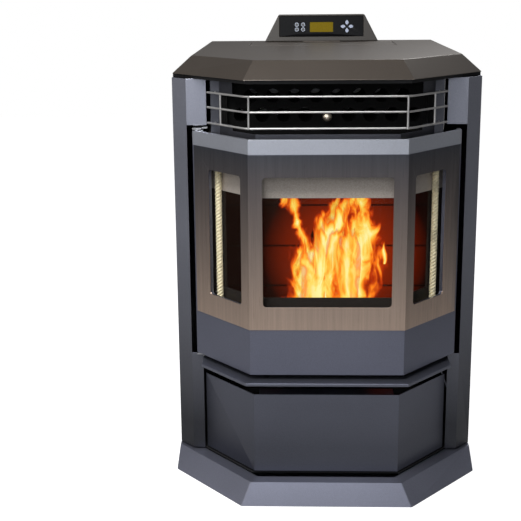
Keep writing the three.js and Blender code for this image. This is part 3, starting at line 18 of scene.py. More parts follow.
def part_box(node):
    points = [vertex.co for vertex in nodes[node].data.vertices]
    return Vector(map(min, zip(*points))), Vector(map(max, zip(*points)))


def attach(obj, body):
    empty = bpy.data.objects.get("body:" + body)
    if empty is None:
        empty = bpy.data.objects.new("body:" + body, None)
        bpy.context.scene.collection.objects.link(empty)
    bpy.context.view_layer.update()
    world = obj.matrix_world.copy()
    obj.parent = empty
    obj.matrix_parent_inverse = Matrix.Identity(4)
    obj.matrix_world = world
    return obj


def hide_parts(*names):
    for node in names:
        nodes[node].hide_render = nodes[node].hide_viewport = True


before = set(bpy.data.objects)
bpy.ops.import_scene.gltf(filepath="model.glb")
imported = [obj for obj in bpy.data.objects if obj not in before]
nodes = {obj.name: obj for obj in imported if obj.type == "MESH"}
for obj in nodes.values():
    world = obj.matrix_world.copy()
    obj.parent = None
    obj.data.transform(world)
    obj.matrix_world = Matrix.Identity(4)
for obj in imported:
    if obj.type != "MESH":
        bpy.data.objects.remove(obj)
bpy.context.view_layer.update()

# %% [markdown]
# ## Camera
# The photograph was taken from a little above the stove and slightly to its
# left, and its frame is square. A long lens far away and a short lens close by
# show the same width but not the same perspective, so the distance was worked
# out from how the base, the door and the cap spread. The turn is built from
# three plain rotations: yaw about the upright, pitch down, and a small roll.

# %% Place the camera
CAMERA_PLACE = Vector((-0.0514, -2.3829, 0.9845))
CAMERA_YAW, CAMERA_PITCH, CAMERA_ROLL = 2.07, 14.05, -0.51

camera_data = bpy.data.cameras.new("photo_camera")
camera_data.sensor_width = 36.0
camera_data.lens = 77.2
camera = bpy.data.objects.new("photo_camera", camera_data)
bpy.context.scene.collection.objects.link(camera)
camera.matrix_world = (
    Matrix.Translation(CAMERA_PLACE)
    @ Matrix.Rotation(math.radians(CAMERA_YAW), 4, "Z")
    @ Matrix.Rotation(math.radians(90.0 - CAMERA_PITCH), 4, "X")
    @ Matrix.Rotation(math.radians(CAMERA_ROLL), 4, "Z")
)
bpy.context.scene.camera = camera
bpy.context.scene.view_settings.view_transform = "Standard"
print("camera at", [round(value, 3) for value in CAMERA_PLACE])

# %% [markdown]
# ## Writing materials as sums
# A material is a net of nodes, and most of them only add, multiply or mix. The
# class below wraps one socket, so that `grain * 0.4 + 0.3` adds the Math nodes
# by itself. Any other node comes from `Finish.node`, which takes the kind of
# node, its settings first, and then what goes into its sockets. Colours are
# mixed by `Finish.mix`, because a Math node would turn a colour grey.


# %% A socket that can be added and multiplied
class Value:
    """One output socket, on which sums may be written."""

    def __init__(self, finish, socket):
        self.finish = finish
        self.socket = socket

    def sum_with(self, operation, *others):
        node = self.finish.tree.nodes.new("ShaderNodeMath")
        node.operation = operation
        for entry, other in zip(node.inputs, others):
            self.finish.feed(entry, other)
        return Value(self.finish, node.outputs[0])

    def __add__(self, other):
        return self.sum_with("ADD", self, other)

    __radd__ = __add__

    def __mul__(self, other):
        return self.sum_with("MULTIPLY", self, other)

    __rmul__ = __mul__

    def __sub__(self, other):
        return self.sum_with("SUBTRACT", self, other)

    def __rsub__(self, other):
        return self.sum_with("SUBTRACT", other, self)

    def __truediv__(self, other):
        return self.sum_with("DIVIDE", self, other)

    def __pow__(self, other):
        return self.sum_with("POWER", self, other)

    def over(self, edge):
        return self.sum_with("GREATER_THAN", self, edge)

    def under(self, edge):
        return self.sum_with("LESS_THAN", self, edge)

    def apply(self, operation, *others):
        return self.sum_with(operation, self, *others)


# %% A material and its nodes
class Finish:
    """A new material with one Principled shader."""

    def __init__(self, name, colour, rough, metal=0.0, **plain):
        self.material = bpy.data.materials.new(name)
        self.material.use_nodes = True
        self.tree = self.material.node_tree
        self.shader = self.tree.nodes["Principled BSDF"]
        self.put("Base Color", (*colour, 1.0))
        self.put("Roughness", rough)
        self.put("Metallic", metal)
        for socket, value in plain.items():
            self.put(socket.replace("_", " "), value)
        self.place = self.node("ShaderNodeTexCoord", out="Object")

    def feed(self, entry, value):
        if isinstance(value, Value):
            self.tree.links.new(value.socket, entry)
        else:
            entry.default_value = value

    def put(self, socket, value):
        self.feed(self.shader.inputs[socket], value)

    def node(self, kind, settings=None, out=0, **sockets):
        made = self.tree.nodes.new(kind)
        for name, value in (settings or {}).items():
            if name == "stops":
                ramp = made.color_ramp
                while len(ramp.elements) < len(value):
                    ramp.elements.new(1.0)
                for element, (at, colour) in zip(ramp.elements, value):
                    element.position = at
                    element.color = (*colour, 1.0)
            else:
                setattr(made, name, value)
        for name, value in sockets.items():
            self.feed(made.inputs[name.replace("_", " ")], value)
        return Value(self, made.outputs[out])

    def mix(self, share, low, high, blend="MIX"):
        made = self.tree.nodes.new("ShaderNodeMix")
        made.data_type = "RGBA"
        made.blend_type = blend
        self.feed(made.inputs["Factor"], share)
        for entry, value in ((made.inputs[6], low), (made.inputs[7], high)):
            self.feed(entry, value if isinstance(value, Value) else (*value, 1.0))
        return Value(self, made.outputs[2])

    def stretched(self, scale, shift=(0.0, 0.0, 0.0)):
        return self.node(
            "ShaderNodeMapping", Vector=self.place, Scale=scale, Location=shift
        )

    def noise(self, scale, detail=2.0, rough=0.5, place=None, distortion=0.0):
        return self.node(
            "ShaderNodeTexNoise",
            Vector=place or self.place,
            Scale=scale,
            Detail=detail,
            Roughness=rough,
            Distortion=distortion,
        )

    def cells(self, scale, out="Distance"):
        return self.node(
            "ShaderNodeTexVoronoi", out=out, Vector=self.place, Scale=scale
        )

    def range(self, value, low, high, to_low=0.0, to_high=1.0):
        made = self.tree.nodes.new("ShaderNodeMapRange")
        for entry, item in zip(made.inputs, (value, low, high, to_low, to_high)):
            self.feed(entry, item)
        return Value(self, made.outputs[0])

    def along(self, axis):
        return self.node("ShaderNodeSeparateXYZ", out=axis, Vector=self.place)

    def distance_to(self, point):
        made = self.tree.nodes.new("ShaderNodeVectorMath")
        made.operation = "DISTANCE"
        self.feed(made.inputs[0], self.place)
        made.inputs[1].default_value = point
        return Value(self, made.outputs["Value"])

    def bump(self, height, strength, distance=0.001):
        self.put(
            "Normal",
            self.node(
                "ShaderNodeBump", Height=height, Strength=strength, Distance=distance
            ),
        )


finishes = {}
print("material helpers ready")

# %% [markdown]
# ## Paint on the cabinet
# The cabinet is folded steel sheet under a satin paint with fine metal flakes.
# From a distance it reads as a grey between blue and brown, and close by it has
# grains of less than a millimetre and the soft orange peel of a sprayed coat.
# Cells give each flake its own shade, and a slow noise lets the coat vary from
# one hand's breadth to the next. In the photograph the panels and the drawer get
# darker towards the floor and the door's folded top edge is pale, so the paint
# carries a part of that as painted shade and painted light: it goes from one
# brightness at 10 centimetres above the floor to another at the height `top`, and
# the door's top edge gets a painted highlight. Dust dulls the lowest few
# centimetres.


# %% Painted sheet
def painted(name, colour, rough, metal, foot=1.0, head=1.0, top=0.78):
    """A paint with painted shade and light: `foot` times as bright near the floor, `head` times at
    `top`.
    """
    paint = Finish(name, colour, rough, metal, Coat_Weight=0.12, Coat_Roughness=0.2)
    flake = paint.node("ShaderNodeSeparateColor", Color=paint.cells(1500.0, out="Color"))
    grain = paint.noise(420.0, 3.0, 0.7)
    cloud = paint.noise(5.0, 3.0)
    shade = flake * 0.30 + grain * 0.45 + cloud * 0.40 - 0.575
    # Painted shade and light: brightness runs from `foot` at 10 centimetres to `head` at `top`.
    rise = paint.range(paint.along(2), 0.10, top, foot, head)
    bright = (shade * 0.55 + 1.0) * rise
    paint.tone = paint.node("ShaderNodeCombineColor", Red=bright, Green=bright, Blue=bright)
    paint.put("Base Color", paint.mix(1.0, paint.tone, colour, "MULTIPLY"))
    dust = paint.range(paint.along(2), 0.0, 0.07, 0.12, 0.0)
    paint.put("Roughness", flake * 0.06 + grain * 0.10 + cloud * 0.08 + (rough - 0.12) + dust)
    paint.bump(grain * 0.8 + flake * 0.25, 0.10, 0.0004)
    finishes[name] = paint
    return paint


# The door's own grey, and the pale grey of a painted highlight on its folded top edge.
DOOR_GREY, DOOR_EDGE_HIGHLIGHT = (0.180, 0.188, 0.245), (0.52, 0.54, 0.60)
DOOR_EDGE_HEIGHT = 0.679

# The last three numbers are painted shade and light: brightness near the floor, brightness at
# `top`, and `top`. The lip and the drawer are painted darker towards the floor, and the side
# panels are painted dark below and bright up to half a metre.
painted("cabinet_paint", (0.165, 0.172, 0.215), 0.38, 0.85, 0.60, 1.0, 0.22)
painted("panel_paint", (0.165, 0.170, 0.200), 0.38, 0.85, 0.30, 1.8, 0.5)
door_paint = painted("door_paint", DOOR_GREY, 0.38, 0.85)
painted("surround_paint", (0.070, 0.072, 0.085), 0.40, 0.8)
painted("cap_paint", (0.066, 0.054, 0.044), 0.44, 0.6)
painted("housing_paint", (0.022, 0.018, 0.014), 0.46, 0.4)
painted("base_paint", (0.200, 0.207, 0.260), 0.40, 0.8)
# Painted highlight: the door above DOOR_EDGE_HEIGHT, its folded top edge, is pale grey, still with
# the flake tone.
on_edge = door_paint.range(door_paint.along(2), DOOR_EDGE_HEIGHT - 0.0005,
                           DOOR_EDGE_HEIGHT + 0.0005)
painted_edge_highlight = door_paint.mix(on_edge, DOOR_GREY, DOOR_EDGE_HIGHLIGHT)
door_paint.put("Base Color", door_paint.mix(1.0, door_paint.tone, painted_edge_highlight, "MULTIPLY"))
print("painted finishes:", len(finishes))

# %% [markdown]
# ## Sheet, castings and plated parts
# Inner sheets are matt black. Castings are nearly black too, with the pitted
# skin that sand leaves. Zinc-plated and drawn steel keeps a faint streak along
# the way it was rolled, so its noise is stretched along one axis. The plate behind
# the panes is bare and pale above the opening to the fire and sooted black below.

# %% Black sheet and cast iron
def rough_dark(name, colour, rough, pits, depth):
    dark = Finish(name, colour, rough, 0.2, Specular_IOR_Level=0.25)
    skin = dark.noise(pits, 4.0, 0.65)
    dark.put("Base Color", dark.mix(skin, tuple(0.6 * c for c in colour),
                                    tuple(1.7 * c for c in colour)))
    dark.put("Roughness", skin * 0.25 + (rough - 0.12))
    dark.bump(skin, 0.35, depth)
    finishes[name] = dark
    return dark


rough_dark("black_sheet", (0.016, 0.016, 0.017), 0.62, 700.0, 0.0004)
# Near-black of soot, made darker still by painted shade in the warm-air recess and the ash
# compartment.
rough_dark("soot_and_shade_black", (0.0016, 0.0015, 0.0015), 0.85, 500.0, 0.0006)
rough_dark("cast_iron", (0.020, 0.018, 0.017), 0.68, 420.0, 0.0012)
plate = rough_dark("hot_plate", (0.21, 0.185, 0.165), 0.60, 300.0, 0.0008)


# %% Drawn and plated steel
def drawn_steel(name, colour, rough, stretch):
    steel = Finish(name, colour, rough, 1.0)
    streak = steel.noise(260.0, 3.0, 0.6, steel.stretched(stretch))
    spots = steel.noise(35.0, 2.0)
    steel.put("Base Color", steel.mix(streak * 0.6 + spots * 0.4,
                                      tuple(0.78 * c for c in colour),
                                      tuple(min(1.0, 1.15 * c) for c in colour)))
    steel.put("Roughness", streak * 0.14 + spots * 0.1 + (rough - 0.12))
    steel.bump(streak, 0.12, 0.0003)
    finishes[name] = steel


drawn_steel("plated_steel", (0.56, 0.56, 0.57), 0.34, (1.0, 1.0, 0.08))
drawn_steel("bright_wire", (0.52, 0.51, 0.50), 0.50, (0.02, 0.05, 0.05))
drawn_steel("key_silver", (0.20, 0.215, 0.26), 0.26, (1.0, 1.0, 0.3))

SOOT_LINE = 0.594
skin = plate.noise(300.0, 4.0, 0.65)
bare_part = plate.mix(skin, (0.36, 0.320, 0.285), (0.72, 0.65, 0.58))
sooted_part = plate.mix(skin, (0.008, 0.007, 0.007), (0.022, 0.018, 0.016))
above = plate.range(plate.along(2), SOOT_LINE - 0.0005, SOOT_LINE + 0.0005)
plate.put("Base Color", plate.mix(above, sooted_part, bare_part))
print("metal finishes ready")

# %% [markdown]
# ## Brushed trim round the glass
# The door's trim is stainless sheet with an upright brushed grain. The grain is
# a noise that is very fine across and long up and down. In the photograph the
# trim turns from a blue grey at its top to a warm pale grey at its foot, because
# it mirrors the room, so a slow upright blend of two tints paints some of that
# reflection into its colour.

# %% Brushed trim
trim = Finish("brushed_trim", (0.5, 0.48, 0.46), 0.3, 0.9)
grain = trim.noise(1.0, 3.0, 0.7, trim.stretched((1500.0, 1500.0, 9.0)))
broad = trim.noise(1.0, 2.0, 0.5, trim.stretched((160.0, 160.0, 2.5)))
TRIM_FOOT, TRIM_HEAD = 0.35, 0.68
height = trim.range(trim.along(2), TRIM_FOOT, TRIM_HEAD)
# Painted reflection: the colour goes from a warm pale grey at the foot to a blue grey at the top.
tint = trim.mix(height, (0.66, 0.50, 0.40), (0.120, 0.125, 0.145))
lines = trim.mix(grain * 0.65 + broad * 0.35, (0.45, 0.45, 0.45), (1.25, 1.25, 1.25))
trim.put("Base Color", trim.mix(1.0, tint, lines, "MULTIPLY"))
trim.put("Roughness", grain * 0.16 + 0.22)
trim.bump(grain * 0.7 + broad * 0.5, 0.35, 0.0002)
finishes["brushed_trim"] = trim

# %% [markdown]
# ## Firebrick
# The lining is moulded brick, orange red where the fire lights it and nearly
# black away from it, a darkness that is painted shade. The finish draws a dark
# line at each course, a coarse grit, and a painted glow that stands in for the
# fire's light and fades with the distance from the middle of the flames.

# %% Firebrick with painted shade and a painted glow
FLAME_MIDDLE = (0.045, -0.19, 0.43)
COURSE_START, COURSE_HEIGHT = 0.3626, 0.086
brick = Finish("firebrick", (0.50, 0.16, 0.06), 0.85, Specular_IOR_Level=0.04)
grit = brick.noise(120.0, 5.0, 0.7)
patches = brick.noise(14.0, 3.0)
course = ((brick.along(2) - COURSE_START) / COURSE_HEIGHT).apply("FRACT")
joint = (course - 0.5).apply("ABSOLUTE").over(0.475)
clay = brick.mix(patches * 0.6 + grit * 0.4, (0.020, 0.003, 0.001), (0.10, 0.013, 0.003))
away = brick.distance_to(FLAME_MIDDLE)
# Painted shade: the clay fades to near black away from the flames.
painted_shade_clay = brick.mix(brick.range(away, 0.10, 0.23), clay, (0.004, 0.0008, 0.0004))
brick.put("Base Color", brick.mix(joint, painted_shade_clay, (0.012, 0.004, 0.002)))
# Painted light: the emission stands in for the fire's light on the brick and fades away from the
# flames.
painted_firelight = brick.range(away, 0.05, 0.19, 1.25, 0.01) * (1.0 - joint * 0.8) * (grit * 0.5 + 0.55)
brick.put("Emission Color", brick.mix(painted_firelight, (0.0, 0.0, 0.0), (0.80, 0.050, 0.002)))
brick.put("Emission Strength", 0.5)
brick.put("Roughness", grit * 0.2 + 0.75)
brick.bump(grit * 0.7 + patches * 0.3, 0.5, 0.002)
finishes["firebrick"] = brick

# %% [markdown]
# ## Glass with a little haze
# The panes are clear ceramic glass with a faint brown tint. Real transmission
# bends the view and costs many samples for a flat pane, so the shader is left
# mostly see-through by its alpha and keeps its gloss. Fine soot hazes the pane
# a little everywhere, and more towards its top.

# %% Clear ceramic glass
glass = Finish("ceramic_glass", (0.05, 0.035, 0.025), 0.05, 0.0, Specular_IOR_Level=0.3)
smear = glass.noise(9.0, 4.0, 0.6)
top_haze = glass.range(glass.along(2), 0.56, 0.64)
glass.put("Alpha", smear * 0.05 + top_haze * 0.06 + 0.03)
glass.put("Roughness", smear * 0.05 + 0.02)
finishes["ceramic_glass"] = glass
print("fireside finishes ready")

# %% [markdown]
# ## The small finishes
# The keypad is a glossy black membrane and the display glows amber behind very
# small dots. The leaf keys are silvered plastic, and the round ones only have a
# silvered rim round a black middle. The scraper is one welded piece, sooty at its
# plate, which painted shade in the recess makes darker still, and bright at the
# knob that the hand pulls, so its finish changes with the distance from the front.

# %% Keypad, display, board
gloss = Finish("keypad_gloss", (0.004, 0.004, 0.0045), 0.2, 0.0, Specular_IOR_Level=0.06)
finger = gloss.noise(60.0, 3.0)
gloss.put("Roughness", finger * 0.12 + 0.16)
finishes["keypad_gloss"] = gloss

display = Finish("amber_display", (0.55, 0.36, 0.03), 0.2, 0.0, Specular_IOR_Level=0.04)
dots = display.cells(1600.0)
inside_dot = dots.under(0.33)
lit = display.mix(inside_dot * 0.35 + 0.6, (0.17, 0.115, 0.002), (0.32, 0.23, 0.006))
display.put("Emission Color", lit)
display.put("Emission Strength", 0.22)
display.put("Base Color", display.mix(inside_dot, (0.10, 0.068, 0.001), (0.16, 0.11, 0.003)))
finishes["amber_display"] = display

board = Finish("circuit_green", (0.02, 0.12, 0.05), 0.35)
tracks = board.node("ShaderNodeTexWave", {"wave_type": "BANDS"}, out="Fac",
                    Vector=board.place, Scale=60.0, Distortion=6.0)
board.put("Base Color", board.mix(tracks.over(0.7), (0.012, 0.085, 0.035), (0.05, 0.24, 0.10)))
board.put("Roughness", tracks * 0.15 + 0.3)
finishes["circuit_green"] = board

# %% Round keys with a rim, and the scraper
RIM_START = 0.0046
ringed = Finish("ringed_key", (0.02, 0.02, 0.022), 0.3)
nearest = 1.0
for number in range(1, 5):
    low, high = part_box(f"round_key_{number}")
    middle = (Vector(low) + Vector(high)) / 2.0
    nearest = ringed.distance_to(middle).apply("MINIMUM", nearest)
ring = nearest.over(RIM_START)
ringed.put("Base Color", ringed.mix(ring, (0.02, 0.02, 0.022), (0.20, 0.215, 0.25)))
ringed.put("Metallic", ring * 0.9)
finishes["ringed_key"] = ringed

scraper = Finish("scraper_steel", (0.5, 0.45, 0.4), 0.3, 1.0, Specular_IOR_Level=0.12)
KNOB_FRONT, KNOB_BACK = -0.284, -0.275
front = scraper.range(scraper.along(1), KNOB_FRONT, KNOB_BACK, 1.0, 0.0)
turned = scraper.noise(180.0, 2.0)
# Soot and painted recess shade on the plate.
recess_soot_and_shade = scraper.mix(turned, (0.003, 0.003, 0.003), (0.010, 0.009, 0.008))
scraper.put("Base Color", scraper.mix(front, recess_soot_and_shade, (0.92, 0.82, 0.66)))
scraper.put("Roughness", 0.72 - front * 0.48 + turned * 0.08)
scraper.put("Metallic", front * 0.95)
finishes["scraper_steel"] = scraper

# %% [markdown]
# ## Which piece has which finish
# Every node of the model gets one of the finishes above, also those that only
# show once the door or the drawer is open. The one left out is the door's plain
# gasket, which a twisted rope replaces further down.

# %% Hand out the finishes
WEARS = {
    "cabinet_paint": "ash_lip ash_drawer_front",
    "panel_paint": "left_side_panel right_side_panel",
    "door_paint": "door_frame",
    "surround_paint": "outlet_surround",
    "soot_and_shade_black": "heat_exchanger outlet_duct ash_compartment",
    "base_paint": "base_pedestal",
    "cap_paint": "top_cap hopper_lid lid_hinge",
    "housing_paint": "control_housing",
    "black_sheet": "chassis_plate rear_panel top_frame ash_pan auger_gearmotor "
    "room_blower_housing exhaust_motor flue_outlet",
    "hot_plate": "firebox_face",
    "cast_iron": "firebox_shell baffle_plate burn_pot_seat burn_pot "
    "auger_tube exhaust_housing",
    "plated_steel": "hopper igniter air_intake_pipe auger_screw "
    "room_blower_rotor exhaust_rotor lower_hinge upper_hinge door_catch",
    "bright_wire": "outlet_grille",
    "scraper_steel": "tube_scraper",
    "brushed_trim": "door_trim",
    "firebrick": "rear_firebrick left_firebrick right_firebrick",
    "ceramic_glass": "front_glass left_glass right_glass",
    "keypad_gloss": "keypad_panel mains_inlet",
    "ringed_key": "round_key_1 round_key_2 round_key_3 round_key_4",
    "key_silver": "up_key left_key down_key right_key",
    "amber_display": "lcd_window",
    "circuit_green": "control_board",
}


def wear(piece, finish):
    if not piece.material_slots:
        piece.data.materials.append(None)
    for entry in piece.material_slots:
        entry.material = finishes[finish].material


for finish, names in WEARS.items():
    for name in names.split():
        wear(nodes[name], finish)
bare = [n for n in nodes if n not in " ".join(WEARS.values()).split()]
print("nodes without a finish:", bare)

# %% [markdown]
# ## Rounded folds
# A fold in steel sheet has a radius of about a millimetre, and without it an
# edge catches no light. The model's meshes are loose triangles, so a Weld joins
# them first, and a Bevel then rounds only the edges that turn by more than 35
# degrees. Both are modifiers, so the meshes themselves stay as they came.

# %% Round the edges of sheet and castings
EDGE = {
    "base_pedestal": 1.6, "left_side_panel": 0.7, "right_side_panel": 0.7, "top_cap": 1.6,
    "hopper_lid": 1.2, "control_housing": 1.6, "outlet_surround": 0.6, "ash_lip": 0.9,
    "ash_drawer_front": 0.7, "door_frame": 1.4, "door_trim": 0.35, "keypad_panel": 0.4,
    "burn_pot": 1.2, "burn_pot_seat": 1.0, "ash_pan": 0.6, "rear_panel": 0.5,
    "flue_outlet": 0.5, "left_firebrick": 1.5, "right_firebrick": 1.5,
    "rear_firebrick": 1.5, "mains_inlet": 0.5, "front_glass": 0.5, "left_glass": 0.5,
    "right_glass": 0.5, "lcd_window": 0.3,
}
for name, millimetres in EDGE.items():
    weld = nodes[name].modifiers.new("joined", "WELD")
    weld.merge_threshold = 0.00002
    bevel = nodes[name].modifiers.new("fold", "BEVEL")
    bevel.width = millimetres / 1000.0
    bevel.segments = 2
    bevel.limit_method = "ANGLE"
    bevel.angle_limit = math.radians(35.0)
    bevel.use_clamp_overlap = True
print("pieces with rounded edges:", len(EDGE))

# %% [markdown]
# ## Finishing a new piece
# A new piece starts as a bmesh. When its shape is done, its mesh goes into an
# object that sits at the origin, rides on a body, and wears a finish. Bent wires
# and rope strands start as curves with a round section, which are made meshes at
# once, so that they take part in everything as the other pieces do.


# %% From a bmesh or a path to a piece
def finished(name, shape, finish, body, smooth=True):
    """The object made of a bmesh, dressed and riding on its body."""
    bmesh.ops.recalc_face_normals(shape, faces=shape.faces)
    mesh = bpy.data.meshes.new(name)
    shape.to_mesh(mesh)
    shape.free()
    mesh.polygons.foreach_set("use_smooth", [smooth] * len(mesh.polygons))
    piece = bpy.data.objects.new(name, mesh)
    bpy.context.scene.collection.objects.link(piece)
    mesh.materials.append(finishes[finish].material)
    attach(piece, body)
    return piece


def round_bars(shape, paths, radius, sides=3, closed=False):
    """Add tubes along the given paths to a bmesh."""
    curve = bpy.data.curves.new("bars", "CURVE")
    curve.dimensions = "3D"
    curve.bevel_depth = radius
    curve.bevel_resolution = sides
    curve.use_fill_caps = not closed
    for path in paths:
        line = curve.splines.new("POLY")
        line.points.add(len(path) - 1)
        for point, place in zip(line.points, path):
            point.co = (*place, 1.0)
        line.use_cyclic_u = closed
    holder = bpy.data.objects.new("bars", curve)
    bpy.context.scene.collection.objects.link(holder)
    mesh = bpy.data.meshes.new_from_object(
        holder.evaluated_get(bpy.context.evaluated_depsgraph_get())
    )
    shape.from_mesh(mesh)
    bpy.data.objects.remove(holder)
    bpy.data.curves.remove(curve)
    bpy.data.meshes.remove(mesh)


def rounded_path(corners, radius, closed=False, steps=6):
    """The corners of a path, each cut off by a short round bend."""
    corners = [Vector(c) for c in corners]
    count = len(corners)
    path = []
    for i, corner in enumerate(corners):
        if not closed and i in (0, count - 1):
            path.append(corner)
            continue
        before = (corners[i - 1] - corner).normalized()
        after = (corners[(i + 1) % count] - corner).normalized()
        for step in range(steps + 1):
            t = step / steps
            start, end = corner + before * radius, corner + after * radius
            path.append(start.lerp(corner, t).lerp(corner.lerp(end, t), t))
    return path


# %% [markdown]
# ## Plan of the bay front
# The front of the stove is a bay: a flat middle and two sides turned by 50
# degrees. A wire or a rope that follows it runs at a fixed distance from the
# outside, so one helper gives where its corner lies and where its side has got
# to at a given width. The plan's middle lies 34.5 millimetres before the frame's.

# %% Points on the bay
TURN = math.radians(50.0)
FORWARD = -0.0345


def bay_corner(front, side):
    """Half width at which a line `front` from the middle meets one `side` from it."""
    return (side - math.cos(TURN) * front) / math.sin(TURN)


def bay_side(side, x):
    """Where a turned side has got to, from front to rear, at the half width x."""
    return -(side - math.sin(TURN) * x) / math.cos(TURN)


def metres(x, y, z):
    """From the millimetres of the plan to the frame's metres."""
    return (x / 1000.0, y / 1000.0 + FORWARD, z / 1000.0)


print("corner of the grille at x =", round(bay_corner(325.0, 322.0), 1), "mm")

# %% [markdown]
# ## Outlet grille
# The grille is three steel wires of four millimetres, bent round the bay, with
# short uprights welded across them and four pegs back to the surround. Real wire
# bends in a small curve, which the model's straight bars leave out, so the wires
# are drawn again here along the same route, and each bend starts twelve
# millimetres before its corner. All these lengths are in the plan's millimetres,
# except the wire's radius and that of a bend, which are in metres.

# %% Bend the grille's wires
WIRE_RADIUS, BEND = 0.002, 0.012
GRILLE_FRONT, GRILLE_SIDE = 325.0, 322.0
GRILLE_END, PEG, PEG_REAR = 226.0, 211.0, -231.2
OUTER_UPRIGHT, INNER_UPRIGHT = 199.0, 144.0
GRILLE_ROWS = (724.0, 753.6, 781.6)
UPRIGHT_ENDS = (722.4, 783.2)


def on_side(x):
    return bay_side(GRILLE_SIDE, x)


corner = bay_corner(GRILLE_FRONT, GRILLE_SIDE)
wires = []
for z in GRILLE_ROWS:
    ends = [(-GRILLE_END, on_side(GRILLE_END), z), (-corner, -GRILLE_FRONT, z),
            (corner, -GRILLE_FRONT, z), (GRILLE_END, on_side(GRILLE_END), z)]
    wires.append(rounded_path([metres(*p) for p in ends], BEND))
for side in (-1.0, 1.0):
    for x, y in ((OUTER_UPRIGHT, on_side(OUTER_UPRIGHT)), (INNER_UPRIGHT, -GRILLE_FRONT)):
        wires.append([metres(side * x, y, z) for z in UPRIGHT_ENDS])
    for z in (GRILLE_ROWS[0], GRILLE_ROWS[-1]):
        wires.append([metres(side * PEG, on_side(PEG), z), metres(side * PEG, PEG_REAR, z)])
shape = bmesh.new()
round_bars(shape, wires, WIRE_RADIUS, 3)
grille = finished("grille_wires", shape, "bright_wire", "cabinet")
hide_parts("outlet_grille")
print("wires in the grille:", len(wires))

# %% [markdown]
# ## Rope seal
# The door closes on a rope of woven glass fibre. It is what the side windows
# show at their far edges, and it has a clear twist. It lies in the gap between
# the panes and the plate behind them. Three strands are wound round the middle
# line of that gap, each a thin tube that circles once every 20 millimetres, and
# together they are 14 millimetres thick.

# %% Lay out the rope's middle line
DOOR_FRONT, DOOR_SIDE = 342.0, 331.0
GAP_START, HALF_GAP = 12.7, 7.05
DEPTH = GAP_START + HALF_GAP
ALONG_SIDE = 120.5
ROPE_LOW, ROPE_HIGH = 373.0, 655.0
rope_corner = bay_corner(DOOR_FRONT - DEPTH, DOOR_SIDE - DEPTH)
front_y = -(DOOR_FRONT - DEPTH)
end_x = (bay_corner(DOOR_FRONT, DOOR_SIDE) + ALONG_SIDE * math.cos(TURN)
         - DEPTH * math.sin(TURN))
end_y = -DOOR_FRONT + ALONG_SIDE * math.sin(TURN) + DEPTH * math.cos(TURN)
plan = [(-end_x, end_y), (-rope_corner, front_y), (rope_corner, front_y), (end_x, end_y)]
loop = [(*plan[0], ROPE_LOW)] + [(*place, ROPE_HIGH) for place in plan]
loop += [(*place, ROPE_LOW) for place in plan[:0:-1]]
guide = rounded_path([metres(*p) for p in loop], BEND, closed=True)
lengths = [(guide[(i + 1) % len(guide)] - guide[i]).length for i in range(len(guide))]
rope_length = sum(lengths)
print("rope length (m):", round(rope_length, 3))

# %% Wind the rope
PITCH, STEPS_PER_TURN, STRANDS = 0.020, 10, 3
OFF_MIDDLE, STRAND_RADIUS = 0.0040, 0.0030
turns = round(rope_length / PITCH)


def along_guide(distance):
    """The place and the heading at a distance from the loop's start."""
    for i, length in enumerate(lengths):
        if distance <= length:
            start, end = guide[i], guide[(i + 1) % len(guide)]
            return start.lerp(end, distance / length), (end - start).normalized()
        distance -= length
    return guide[0], (guide[1] - guide[0]).normalized()


strands = []
for strand in range(STRANDS):
    path = []
    for step in range(turns * STEPS_PER_TURN):
        share = step / (turns * STEPS_PER_TURN)
        middle, heading = along_guide(share * rope_length)
        across = heading.cross(Vector((0.0, 1.0, 0.0))).normalized()
        over = heading.cross(across)
        angle = 2.0 * math.pi * (share * turns + strand / STRANDS)
        path.append(middle + (across * math.cos(angle) + over * math.sin(angle)) * OFF_MIDDLE)
    strands.append(path)
shape = bmesh.new()
round_bars(shape, strands, STRAND_RADIUS, 1, closed=True)

rope_finish = Finish("glass_rope", (0.36, 0.30, 0.20), 0.9)
fibre = rope_finish.noise(1.0, 3.0, 0.7, rope_finish.stretched((900.0, 900.0, 250.0)))
singed = rope_finish.noise(22.0, 3.0)
pale = rope_finish.mix(fibre, (0.95, 0.82, 0.52), (1.0, 0.93, 0.66))
rope_finish.put("Base Color", rope_finish.mix(singed.over(0.60) * 0.25, pale, (0.10, 0.08, 0.055)))
rope_finish.bump(fibre, 0.6, 0.0006)
finishes["glass_rope"] = rope_finish
rope = finished("rope_seal", shape, "glass_rope", "door")
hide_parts("door_gasket")
print("turns of the rope:", turns)

# %% [markdown]
# ## The fire
# A pellet fire is a bundle of flames that blown air drives up from a small pot.
# Each flame is soft and partly see-through, yellow where it is hot and orange
# red where it thins out. A solid shape would give it a hard edge, so the fire is
# drawn on three upright sheets that cross over the pot, and each sheet is clear
# except where a flame is. A flame is the room round a bent centre line, widest
# between its foot and its middle, and a fine upright noise frays it. It is spent
# over its upper part, where it fades out, and has nothing under its foot.

# %% One tongue, as a number that falls from its middle line to its edge
POT_MIDDLE_Y = -0.2245
BENDS = 5.3
SPENT_FROM, SPENT_AT_TIP, UNDER_FOOT = 0.55, 1.1, 2.0
NEVER_ZERO = 0.0005


def tongue(fire, side, high, foot, low, tall, wide, lean, curl):
    """Above 0 inside one flame, and lower towards its sides and its spent tip."""
    rise = fire.range(high, low, low + tall)
    middle = rise ** 1.5 * lean + (rise * BENDS).apply("SINE") * curl + foot
    width = (rise ** 0.4) * ((1.0 - rise) ** 0.7) * (wide * 1.7) + NEVER_ZERO
    spent = fire.range(rise, SPENT_FROM, 1.0, 0.0, SPENT_AT_TIP) + rise.under(0.01) * UNDER_FOOT
    return 1.0 - spent - (side - middle).apply("ABSOLUTE") / width


